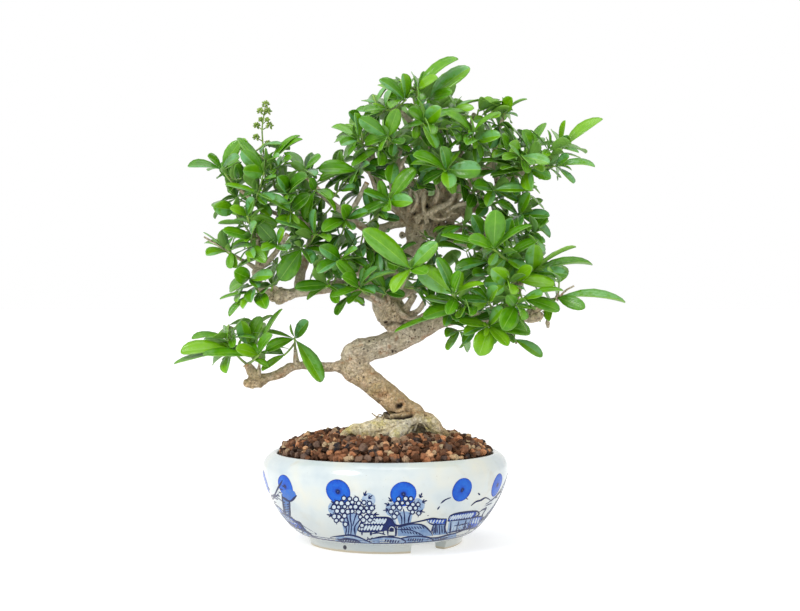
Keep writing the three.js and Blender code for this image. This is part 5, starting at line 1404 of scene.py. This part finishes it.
# The pot: outlines are (radius, height), turned about the axis
pot = {
    "outer": [(64, 6.8), (71, 9.5), (82, 19.8), (92.5, 36), (98.2, 50), (100, 60.5), (98.4, 67), (94.6, 71.4),
        (89.8, 73.5)],
    "inner": [(87.8, 71.4), (88.6, 67.5), (91.2, 60), (89.6, 47.5), (82.6, 33.5), (71.5, 21), (54, 15)],
    "steps": 144, "curveSteps": 5, "seam": 0.02, "smoothUnder": 38, "paintedFrom": 60,
    "foot": [(53, 0.9), (54, 0), (61.6, 0), (62.5, 0.9), (64.6, 7.4), (53, 7.4)],
    "footGaps": [34, 154, 274],  # degrees from the front, towards +X
    "footGapHalf": 15, "footSteps": 30, "footSeam": 0.01, "drainRadius": 9, "drillLength": 30, "drillHeight": 12,
    "drains": [(-26, 8), (34, -6)],
}


def makePot():
    floorBelow = pot["outer"][0][1]
    floorAbove = pot["inner"][-1][1]
    outline = [(0, floorBelow), *pot["outer"], *pot["inner"], (0, floorAbove)]
    places = [Vector((radius, 0, height)) for radius, height in outline]
    bowl = asMesh(curveThrough(places, pot["curveSteps"], corners=(0, 1, len(outline) - 1)), "bowl")
    rows = [((p[0] - potAxis.x) / mm, p[2] / mm) for p in placesOf(bowl).tolist()]
    lipTop = max(range(len(rows)), key=lambda k: rows[k][1])
    outside = sorted((height, radius) for radius, height in rows[:lipTop + 1] if radius > pot["paintedFrom"])
    spinRound(pot["steps"], 2 * math.pi, pot["seam"])
    feet = [makeFoot(angle + pot["footGapHalf"]) for angle in pot["footGaps"]]
    for foot in feet:
        carve(bowl, "UNION", foot)
    for x, y in pot["drains"]:
        bpy.ops.mesh.primitive_cylinder_add(
            vertices=40, radius=pot["drainRadius"] * mm, depth=pot["drillLength"] * mm,
            location=fromTree @ Vector((x, y, pot["drillHeight"])))
        carve(bowl, "DIFFERENCE", bpy.context.object)
    smooth(bowl, math.radians(pot["smoothUnder"]))
    dress(bowl, glazeFinish)
    handIn(bowl, "pot")
    return [height for height, _ in outside], [radius for _, radius in outside]


def makeFoot(firstAngle):  # one arc of the foot ring, from an angle to the next gap
    section = pot["foot"]
    bpy.ops.mesh.primitive_circle_add(vertices=len(section), radius=1, fill_type="NGON")
    foot = bpy.context.object
    places = np.array([fromTree @ Vector((radius, 0, height)) for radius, height in section])
    movePlaces(foot, places)
    sweep = 360 / len(pot["footGaps"]) - 2 * pot["footGapHalf"]
    spinRound(pot["footSteps"], math.radians(-sweep), pot["footSeam"])
    turnRound(foot, firstAngle - 90)
    return foot


# The painting on the bowl: a generic cobalt landscape that stands three times round the bowl, under a
# row of round spots. Points are (x, z) as seen from the front
painting = {
    "lift": 0.05, "layer": 0.03, "depth": 0.12, "boldness": 1.5, "step": 1.6, "spotRadius": 9.7,
    "spotHeight": 51.5, "spotShift": (-0.7, 0.7), "spotSizes": (0.96, 1.03), "spotFlat": 0.96,
    "spots": [-77, -51, -20.5, 8.5, 37, 64, 91.3, 118.6, 145.9, 173.2, 200.5, 227.8, 255.1],
    "baseHeight": 9.3, "baseBand": (0.2, 3),
    "spotStops": [(0.02, 0.78), (0.12, 0.74), (0.26, 0.56), (0.5, 0.48), (0.75, 0.5), (0.93, 0.56), (1, 0.68)],
    "ringPoints": 13, "patchPoints": 7, "spotPoints": 33, "bandPoints": 11, "bandParts": 12,
    "bowlSteps": 12, "weld": 0.004, "areaRows": 2.2, "smoothUnder": 40,
    "taper": 0.45, "hatchTaper": 0.6, "unevenness": 0.18,
    "twigFan": [(-38, 2.6), (0, 4.4), (34, 3)], "twigWidth": 0.75,  # degrees and lengths
    "turns": [120, 240],  # the drawing comes round the bowl again
    "towerEdge": -54, "towerTurns": [134, 240],
}
wash = 0.12
wetBlue = 0.3
penBlue = 0.86
# Strokes of the pen: (points, width)
penLines = [([(3, 18.6), (6, 15.4), (10, 12.2), (18, 13.8), (29, 16), (38, 18), (44, 17.6), (50, 17.8)], 0.9),
    ([(-17.4, 18.6), (2.2, 18.6), (8.5, 12)], 1), ([(-20.8, 7.7), (-17.4, 13), (-1, 13), (3, 8)], 0.8),
    ([(-17.4, 18.6), (-20.8, 13), (-20.8, 7.7), (-1, 7.7)], 0.8), ([(-19, 7.7), (-19, 4.4)], 0.8),
    ([(-11.6, 7.4), (-11.8, 4.2)], 1.2), ([(-1.5, 7.4), (-1.5, 5)], 0.8), ([(-11, 5.6), (-6, 6.4), (0, 4.8)], 0.7),
    ([(2.2, 3.6), (2.2, 9.8), (5, 12.4), (8.3, 9.8), (8.3, 3.6)], 0.9), ([(2.2, 3.8), (8.3, 3.8)], 0.7),
    ([(9, 12), (9, 4)], 0.8), ([(9, 9.4), (14, 9), (20, 8.8), (27, 6.2), (31, 4.2)], 0.6),
    ([(10, 10.6), (19.8, 13.4), (30.6, 12.6), (37.4, 6.6), (38.4, 4)], 0.8), ([(37.4, 6.6), (39, 12), (42, 15)], 0.6),
    ([(50, 17.8), (48.6, 10), (50.5, 5)], 0.8), ([(33, 17.6), (38, 13.4), (49, 13.4)], 0.7),
    ([(41, 13), (41, 5.5)], 0.6), ([(44, 13), (44.4, 5)], 0.6),
    ([(50.9, 15.9), (55, 21.3), (74.6, 24), (73.3, 19.3), (50.9, 15.9)], 0.9),
    ([(73.3, 19.3), (79.4, 19.4), (75.3, 11.8), (66, 9)], 0.9), ([(53.6, 15.4), (52.6, 5.4)], 0.8),
    ([(60, 16), (57.8, 7)], 0.7), ([(66, 17), (64, 8.8)], 0.7), ([(70, 17.5), (68.4, 10.4)], 0.7),
    ([(50, 6), (58, 8), (66, 9.4), (72, 12.6)], 0.8), ([(56, 12), (62, 13), (68, 14.6)], 0.6),
    ([(45.2, 30.4), (49, 33.4), (53.4, 35.2)], 0.7), ([(42.4, 25.3), (44.4, 28)], 0.7),
    ([(65.8, 34.6), (67.4, 33.8)], 0.7), ([(69.9, 28.5), (73.9, 31.8), (78, 33), (82, 35.1), (86.8, 32.4)], 0.8),
    ([(75.6, 38.9), (77.3, 37.3)], 0.9), ([(34.2, 20.4), (35.4, 20.6)], 0.6),
    ([(-91.9, 33.5), (-88.5, 41), (-83.8, 49.5)], 0.9), ([(-92, 33.4), (-87, 38.4)], 0.7),
    ([(-84.4, 38), (-83.2, 29), (-80.6, 17)], 0.8), ([(-78.2, 33), (-77.9, 24), (-77.9, 16)], 0.9),
    ([(-83.8, 35.6), (-77.7, 32.2), (-72.3, 36.9)], 1.1), ([(-90, 30), (-86, 23), (-81, 17)], 0.7),
    ([(-80, 16.4), (-76, 16), (-70, 14.6), (-66, 9), (-60, 4)], 0.9), ([(-77, 19.5), (-75.6, 17.8)], 0.7),
    ([(-79, 15), (-73, 9), (-66, 4.2)], 0.9), ([(-71, 13.6), (-72.4, 9.4)], 0.7), ([(-66.4, 9), (-68, 6)], 0.7),
    ([(-64, 7.6), (-58.4, 3), (-54, 1)], 1),
    ([(-45, 2.6), (-41, 3.4), (-35, 4), (-29, 4.6), (-22, 3), (-14, -0.6), (-9, -2.6)], 0.8),
    ([(-39, 1.6), (-35.4, -0.6), (-33, -1.6)], 1.1), ([(-37, 1), (-31, 1.6), (-24, 0.4), (-19.6, -2)], 0.9),
    ([(-13, 1), (-7, 2.4), (-1, 3.2), (6, 2.8), (12, 1.8), (16.6, -0.6), (13.4, -3)], 0.8),
    ([(13, 2), (20, 3.2), (28, 3.6), (36, 2.4), (40, -0.6)], 0.8),
    ([(34, 2.6), (42, 2.4), (50, 4.4), (58, 6.4), (64, 8.6)], 0.7), ([(38, 0), (44, 0.6), (51, 2.6)], 0.6),
    ([(-32.6, 4), (-31.8, 10), (-34.4, 16), (-36.4, 20)], 0.8),
    ([(-30.4, 4.4), (-29.6, 12), (-31, 18), (-32, 23)], 0.7),
    ([(-28.2, 4.4), (-27.6, 12), (-28.6, 19), (-28, 25)], 0.7),
    ([(-24.4, 4), (-25, 11), (-21.6, 16), (-19.6, 19)], 0.8), ([(-26.6, 12), (-24.6, 19), (-22, 25)], 0.7),
    ([(13.4, 13), (13.2, 19), (10.6, 23.4)], 0.7), ([(15.8, 13.4), (15.6, 21), (14.6, 26)], 0.7),
    ([(18.6, 13.6), (19.4, 19), (21.6, 24)], 0.8), ([(-16, -0.6), (-14, 1.2), (-11, 1)], 0.7),
    ([(-14, 1), (-14.4, 3)], 0.6), ([(-12.4, 1), (-10.4, 2.6)], 0.6)]
# Twigs that stand out of the trees' crowns: where, and which way they point in degrees
twigMarks = [(-42, 27.4, 200), (-43.4, 20.6, 170), (-40.6, 30, 150), (-17, 36.6, 70), (-13.8, 34.4, 40), (-10.4, 25.4,
    60), (-9.4, 21.4, 0), (-11.4, 18.4, -40), (3.4, 29, 160), (2.6, 25.4, 190), (28.4, 35, 70), (30, 31.4, 20), (28,
    24, -10), (5.4, 32, 130)]
# Hatching: (first point, last point, count, a stroke's own way, width, ink)
hatchings = [((-15.4, 18), (0.8, 18), 8, (-2.8, -4.2), 1.25, 0.02),
    ((-17.6, 12.4), (-2.4, 12.4), 7, (-2.2, -3.8), 1.25, 0.02),
    ((35.6, 17.2), (47.6, 17), 6, (-1.6, -2.6), 0.9, 0.05), ((42, 12.6), (48, 12.4), 4, (0.4, -6.4), 0.6, penBlue),
    ((38.4, 10.4), (40.6, 12.4), 3, (0.6, -5), 0.6, penBlue), ((55.8, 20.6), (72, 22.8), 9, (-3, -3.9), 0.85, 0.04),
    ((70.6, 18.4), (76.6, 18.8), 4, (-1.6, -4.6), 0.8, 0.06), ((54.8, 11.4), (62, 12.6), 4, (-0.8, -3.6), 0.8, 0.06),
    ((60, 7.6), (70, 11), 6, (-0.6, 2.6), 0.5, penBlue), ((12.6, 11), (30, 12), 9, (1.8, -2.2), 0.6, penBlue),
    ((13, 8.4), (27, 6.6), 7, (1.4, -2), 0.6, penBlue), ((-33.6, 1), (-23.6, 0.2), 6, (-1.6, -2.2), 0.9, penBlue),
    ((0.6, 1), (11, 0.2), 6, (-1, -2), 0.9, penBlue), ((19.4, 2), (30.6, 1.6), 7, (-1, -2.2), 0.8, penBlue),
    ((39, 1.2), (45, 1.8), 4, (0.6, -1.4), 0.8, penBlue), ((-83.6, 31), (-81.2, 19), 7, (1.8, 0.6), 0.6, penBlue),
    ((-78.6, 30), (-78.4, 18), 7, (-1.8, -0.6), 0.6, penBlue), ((-76, 14.6), (-68, 6.6), 5, (1.8, 1.4), 0.6, penBlue),
    ((-91, 32), (-84.4, 45), 6, (2.2, -1), 0.6, penBlue)]
# Laid areas: (lower line, upper line, ink, layer)
areas = [([(-17.4, 8), (-9, 8), (1.6, 8)], [(-17.4, 18.6), (-8, 18.6), (2.2, 18.6)], 0.8, 1),
    ([(-20.6, 8), (-19, 8), (-17.4, 8)], [(-20.6, 12.6), (-19, 15.8), (-17.4, 18.6)], 0.8, 1),
    ([(1.6, 8), (2.2, 9.6), (4.6, 11.8), (8.4, 11.6)], [(2.2, 18.6), (3.6, 17.2), (6, 14.8), (8.6, 11.8)], 0.72, 1),
    ([(3.2, 7.4), (5, 7.2), (7, 7.4)], [(3.4, 9.8), (5.2, 10.8), (7, 9.8)], 0.9, 2),
    ([(34, 15.6), (42, 14), (49.6, 14)], [(34, 17.6), (42, 17.6), (49.8, 17.8)], 0.6, 1),
    ([(50.9, 15.7), (62, 17.4), (73.3, 19.1)], [(55, 21.3), (65, 22.7), (74.6, 24)], 0.62, 1),
    ([(66, 9.4), (71, 10.8), (75.3, 12)], [(70, 18.8), (74, 19.1), (79.2, 19.3)], 0.6, 1),
    ([(-84.2, 36), (-77.7, 32.4), (-72.6, 37)], [(-83.6, 41), (-78, 42), (-74, 40)], 0.4, 2),
    ([(-83, 18), (-80, 17), (-78, 16.4)], [(-84, 35), (-81, 34), (-78, 33)], wetBlue, 0),
    ([(-79, 14.8), (-72, 8.6), (-64, 3.4)], [(-79.4, 16.2), (-70, 14.4), (-61, 4.6)], wetBlue, 0),
    ([(10, 3.8), (18, 3.8), (28, 3.9), (38, 4)], [(10, 10.4), (19.8, 13.2), (30.6, 12.4), (37.8, 6.4)], 0.2, 0),
    ([(39, 4.4), (44, 4.8), (50, 5.4)], [(39, 14.6), (44, 15), (49, 14.4)], 0.2, 0),
    ([(50, 5.6), (60, 8), (72, 12)], [(52, 15.8), (62, 17.4), (72.6, 19)], 0.14, 0),
    ([(11.4, 13.4), (16, 13.6), (20.6, 14)], [(8.4, 23), (15.6, 24), (22.6, 23)], 0.14, 0),
    ([(-33, 4.2), (-28.4, 4.4), (-24, 4.2)], [(-36.6, 20), (-28.6, 23), (-20, 20)], 0.16, 0)]
hillTops = [([(-41, 2.8), (-35, 3.9), (-29, 4.4), (-22, 2.8), (-14, -0.7), (-9, -2.7)], 0.16), ([(-13, 1), (-7, 2.3),
    (-1, 3), (6, 2.7), (12, 1.7), (16.4, -0.7)], 0.13), ([(13, 1.8), (20, 3), (28, 3.4), (36, 2.3), (42, 2.3), (50,
    4.2), (58, 6.2)], 0.2)]
washSpots = [(-13.6, 33.4, 5.6), (-40.6, 26.4, 6.2), (6, 25.4, 6), (26.6, 29, 5.6), (-35, 32, 4.6), (4.6, 15, 4)]
treeCrowns = [(-26.4, 23.6, 17.2, 12.6, 5), (16, 26.6, 12.6, 9.4, 17)]  # centre, half sizes, seed
crownRings = {"radius": 1.9, "apart": 4.5, "jitter": 0.7, "pen": 1, "stemHalfWidth": 4.6,
    "grid": (4, 6), "rowShare": 0.8, "sizes": (0.85, 1.12), "twig": (1.9, 3.4), "twigWidth": 0.8}


def smoothLine(points, step):  # a curve through points, as a row of points
    points = np.array(points, float)
    if len(points) == 2:
        count = max(1, math.ceil(norm(points[1] - points[0]) / step))
        return points[0] + (points[1] - points[0]) * np.linspace(0, 1, count + 1)[:, None]
    padded = np.vstack([2 * points[0] - points[1], points, 2 * points[-1] - points[-2]])
    made = [points[:1]]
    for a, b, c, d in zip(padded[:-3], padded[1:-2], padded[2:-1], padded[3:]):
        count = max(1, math.ceil(norm(c - b) / step))
        t = np.linspace(0, 1, count + 1)[1:, None]
        made.append(0.5 * (2 * b + (c - a) * t + (2 * a - 5 * b + 4 * c - d) * t ** 2
            + (3 * b - a - 3 * c + d) * t ** 3))
    return np.vstack(made)


def evenly(points, count):  # the same line with count pieces
    steps = norm(np.diff(points, axis=0), axis=1)
    reach = np.concatenate([[0], np.cumsum(steps)])
    wanted = np.linspace(0, reach[-1], count + 1)
    return np.stack([np.interp(wanted, reach, points[:, k]) for k in (0, 1)], axis=1)


class Painter:
    def __init__(self, heights, radii):
        self.heights = heights
        self.radii = radii
        self.sheets = {}
        self.laid = []
        self.draw = seededDraw(1213)

    def onBowl(self, x, z):  # the angle round the axis, and the height, of what shows at x, z
        depth = -90
        for _ in range(painting["bowlSteps"]):
            real, _, height = seen(x, z, depth)
            radius = np.interp(height, self.heights, self.radii)
            depth = -math.sqrt(max(radius ** 2 - real ** 2, (0.12 * radius) ** 2))
        return math.atan2(real, -depth), height

    def atAngle(self, angle, height, layer):
        lift = painting["lift"] + painting["layer"] * layer
        height = max(height, self.heights[0])
        radius = np.interp(height, self.heights, self.radii) + lift
        return fromTree @ Vector((radius * math.sin(angle), -radius * math.cos(angle), height))

    def sheet(self, columns, rows):  # a flat grid, modelled once for each number of faces
        if (columns, rows) not in self.sheets:
            bpy.ops.mesh.primitive_grid_add(x_subdivisions=columns, y_subdivisions=rows, size=1)
            grid = bpy.context.object
            order = [(round((v.co.y + 0.5) * rows), round((v.co.x + 0.5) * columns)) for v in grid.data.vertices]
            self.sheets[columns, rows] = (grid, order)
        return self.sheets[columns, rows]

    def lay(self, lines, inks, layer, onSurface=False):  # lines of points from bottom to top
        grid, order = self.sheet(len(lines[0]) - 1, len(lines) - 1)
        made = copyOf(grid, "paint")
        places = []
        for row, column in order:
            first, second = lines[row][column]
            angle, height = (first, second) if onSurface else self.onBowl(first, second)
            places.append(self.atAngle(angle, height, layer))
        movePlaces(made, places)
        setValues(made, "ink", [inks[row][column] if np.ndim(inks) else inks for row, column in order])
        self.laid.append(made)

    def stroke(self, points, width, ink=penBlue, layer=3, taper=painting["taper"]):
        line = smoothLine(points, painting["step"])
        ways = np.gradient(line, axis=0)
        ways /= norm(ways, axis=1)[:, None] + 1e-9
        across = np.stack([-ways[:, 1], ways[:, 0]], axis=1)
        share = np.linspace(0, 1, len(line))
        width *= painting["boldness"]
        swell = taper + (1 - taper) * np.minimum(1, 5 * np.minimum(share, 1 - share))
        swell *= 1 + painting["unevenness"] * np.sin(9 * share + self.draw(0, 6))
        side = across * (width / 2 * swell)[:, None]
        self.lay([line - side, line + side], ink, layer)

    def area(self, lower, upper, ink, layer):
        lower = smoothLine(lower, painting["step"])
        upper = smoothLine(upper, painting["step"])
        count = max(len(lower), len(upper)) - 1
        lower, upper = evenly(lower, count), evenly(upper, count)
        rows = max(1, math.ceil(np.abs(upper - lower).max() / painting["areaRows"]))
        self.lay([lower + (upper - lower) * k / rows for k in range(rows + 1)], ink, layer)

    def ring(self, x, z, radius, width, ink, layer):
        turns = np.linspace(0, 2 * math.pi, painting["ringPoints"])
        circle = np.stack([np.cos(-turns), np.sin(-turns)], axis=1)
        centre = np.array((x, z))
        self.lay([centre + circle * (radius - width / 2), centre + circle * (radius + width / 2)], ink, layer)

    def patch(self, x, z, radius, ink, layer):  # a round area, from a bent sheet
        lines = []
        steps = np.linspace(-1, 1, painting["patchPoints"])
        for row in steps:
            half = math.sqrt(max(1 - row * row, 0.02))
            lines.append([(x + radius * half * t, z + radius * row) for t in steps])
        self.lay(lines, ink, layer)

    def spot(self, degrees):  # one of the round spots, in rings round its middle
        centre = math.radians(degrees)
        height = painting["spotHeight"] + self.draw(*painting["spotShift"])
        wide = painting["spotRadius"] * self.draw(*painting["spotSizes"])
        radius = np.interp(height, self.heights, self.radii)
        turns = np.linspace(0, 2 * math.pi, painting["spotPoints"])
        lines, inks = [], []
        for share, ink in painting["spotStops"]:
            reach = wide * share
            lines.append([(centre - reach * math.cos(a) / radius, height + painting["spotFlat"] * reach * math.sin(a))
                for a in turns])
            inks.append([ink] * len(turns))
        self.lay(lines, inks, 1, onSurface=True)

    def baseSeen(self, x):  # where the base line shows at x
        radius = np.interp(painting["baseHeight"], self.heights, self.radii)
        depth = -radius
        for _ in range(painting["bowlSteps"] // 2):
            depth = -math.sqrt(max(radius ** 2 - seen(x, 0, depth).x ** 2, 1))
        return shownAt((0, depth, painting["baseHeight"]))[1]

    def treeCrown(self, x, z, halfWidth, halfHeight, seed):
        draw = seededDraw(seed)
        apart = crownRings["apart"]
        rowReach, columnReach = crownRings["grid"]
        for row in range(-rowReach, rowReach + 1):
            for column in range(-columnReach, columnReach + 1):
                across = (column + 0.5 * (row % 2)) * apart + draw(-1, 1) * crownRings["jitter"]
                up = row * apart * crownRings["rowShare"] + draw(-1, 1) * crownRings["jitter"]
                reach = math.hypot(across / halfWidth, up / halfHeight)
                stemHere = abs(across) < crownRings["stemHalfWidth"] and up < 0
                if reach > 1 or stemHere:
                    continue
                radius = crownRings["radius"] * draw(*crownRings["sizes"])
                self.patch(x + across, z + up, radius, 0, 3)
                self.ring(x + across, z + up, radius, crownRings["pen"], penBlue, 4)
                first = draw(0, 6.28)
                for angle in (first, first + 2.4):
                    self.stroke([(x + across + reach * math.cos(angle), z + up + reach * math.sin(angle))
                        for reach in crownRings["twig"]], crownRings["twigWidth"], penBlue, 2)

    def joinLaid(self, name):
        made = joinAs(name, self.laid)
        self.laid = []
        editAll()
        bpy.ops.mesh.remove_doubles(threshold=painting["weld"] * mm)
        editDone()
        finishWith(made, "SOLIDIFY", thickness=painting["depth"] * mm, offset=-1)
        return made


def paintScene(painter, isTower):  # the landscape, or the tower at its left end
    def mine(points):
        return (max(x for x, _ in points) < painting["towerEdge"]) == isTower

    for lower, upper, ink, layer in areas:
        if mine(lower):
            painter.area(lower, upper, ink, layer)
    for top, ink in hillTops:
        if mine(top):
            painter.area([(x, painter.baseSeen(x)) for x, _ in top], top, ink, 0)
    for points, width in penLines:
        if mine(points):
            painter.stroke(points, width)
    for first, last, count, way, width, ink in hatchings:
        if mine([first, last]):
            for share in np.linspace(0, 1, count):
                start = np.array(first) + (np.array(last) - np.array(first)) * share
                painter.stroke([tuple(start), tuple(start + np.array(way))], width, ink, 3, painting["hatchTaper"])
    if not isTower:
        for x, z, radius in washSpots:
            painter.patch(x, z, radius, wash, 0)
        for x, z, degrees in twigMarks:
            for turn, length in painting["twigFan"]:
                angle = math.radians(degrees + turn)
                painter.stroke([(x, z), (x + length * math.cos(angle), z + length * math.sin(angle))],
                    painting["twigWidth"])
        for crownRow in treeCrowns:
            painter.treeCrown(*crownRow)
    return painter.joinLaid("tower" if isTower else "landscape")


def paintBowl(heights, radii):
    painter = Painter(heights, radii)
    parts = []
    for isTower, turns in ((False, painting["turns"]), (True, painting["towerTurns"])):
        drawn = paintScene(painter, isTower)
        parts.append(drawn)
        for degrees in turns:
            parts.append(copyOf(drawn, "painted_copy"))
            turnRound(parts[-1], degrees)
    for degrees in painting["spots"]:
        painter.spot(degrees)
    low, high = (painting["baseHeight"] + more for more in painting["baseBand"])
    sweep = 360 / painting["bandParts"]
    for k in range(painting["bandParts"]):
        angles = np.linspace(math.radians(sweep * k), math.radians(sweep * (k + 1)), painting["bandPoints"])
        painter.lay([[(a, low) for a in angles], [(a, high) for a in angles]], penBlue, 2, onSurface=True)
    parts.append(painter.joinLaid("spots"))
    drop(*(grid for grid, _ in painter.sheets.values()))
    painted = joinAs("pot_painting", parts)
    smooth(painted, math.radians(painting["smoothUnder"]))
    dress(painted, paintFinish)
    handIn(painted)
    print("painting:", len(painted.data.polygons))


# Lights are (place, size, power)
studio = {"key": ((-1.1, -1.3, 1.5), 0.8, 20), "top": ((0.1, -0.1, 1.9), 1.3, 7), "aimHeight": 0.2,
    "reach": 60, "rim": 0.8, "world": 1, "floorGlow": 0.5}


def makeStudio():
    bpy.ops.mesh.primitive_circle_add(vertices=64, radius=studio["reach"], fill_type="NGON")
    floor = named(bpy.context.object, "floor")
    pick(floor, [True] * len(floor.data.vertices))
    bpy.ops.mesh.inset(thickness=studio["reach"] * studio["rim"])
    editDone()
    smooth(floor)
    made = Finish("studio_floor", {"Roughness": 0.9, "Specular IOR Level": 0.1, "Emission Color": (1, 1, 1, 1),
        "Emission Strength": studio["floorGlow"]})
    dress(floor, made.ready(made.ramp(made.noise(0.8), (0.3, (208, 208, 208)), (0.7, (213, 213, 212)))))


def softLight(name, spot, size, power):
    bpy.ops.object.light_add(type="AREA", location=spot)
    light = bpy.context.object
    light.name = name
    light.data.shape = "DISK"
    light.data.size = size
    light.data.energy = power
    aim = potAxis + Vector((0, 0, studio["aimHeight"])) - light.location
    light.rotation_mode = "QUATERNION"
    light.rotation_quaternion = aim.to_track_quat("-Z", "Y")


def makeCamera():
    bpy.ops.object.camera_add(
        location=potAxis + Vector((view["eyeSide"], -view["distance"], view["eyeHeight"])) * mm,
        rotation=(math.pi / 2, 0, 0))
    camera = bpy.context.object
    camera.data.lens = view["lens"]
    camera.data.sensor_width = view["sensor"]
    bpy.context.scene.camera = camera


makeCamera()
makeStudio()
softLight("key_light", *studio["key"])
softLight("top_light", *studio["top"])
world = bpy.context.scene.world or bpy.data.worlds.new("studio")
bpy.context.scene.world = world
world.use_nodes = True
sky = world.node_tree.nodes["Background"]
sky.inputs["Color"].default_value = (1, 1, 1, 1)
sky.inputs["Strength"].default_value = studio["world"]
bpy.context.scene.view_settings.view_transform = "Standard"
print("studio ready")

for node, finish in (("soil", soilFinish), ("drain_screen_1", screenFinish), ("drain_screen_2", screenFinish)):
    dress(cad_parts[node], finish)

trunk, twigs = makeWood()
ends = makeCutEnds()
for piece, finish in ((trunk, barkFinish), (twigs, barkFinish), (ends, cutWoodFinish)):
    smooth(piece)
    dress(piece, finish)
    handIn(piece, "trunk" if piece is trunk else None)
print("wood:", len(trunk.data.polygons), len(twigs.data.polygons))

crown, grown = growCrown()
makeGravel(crown)
paintBowl(*makePot())
makeBloom()
makeSprays(grown)
print("sprays dressed")
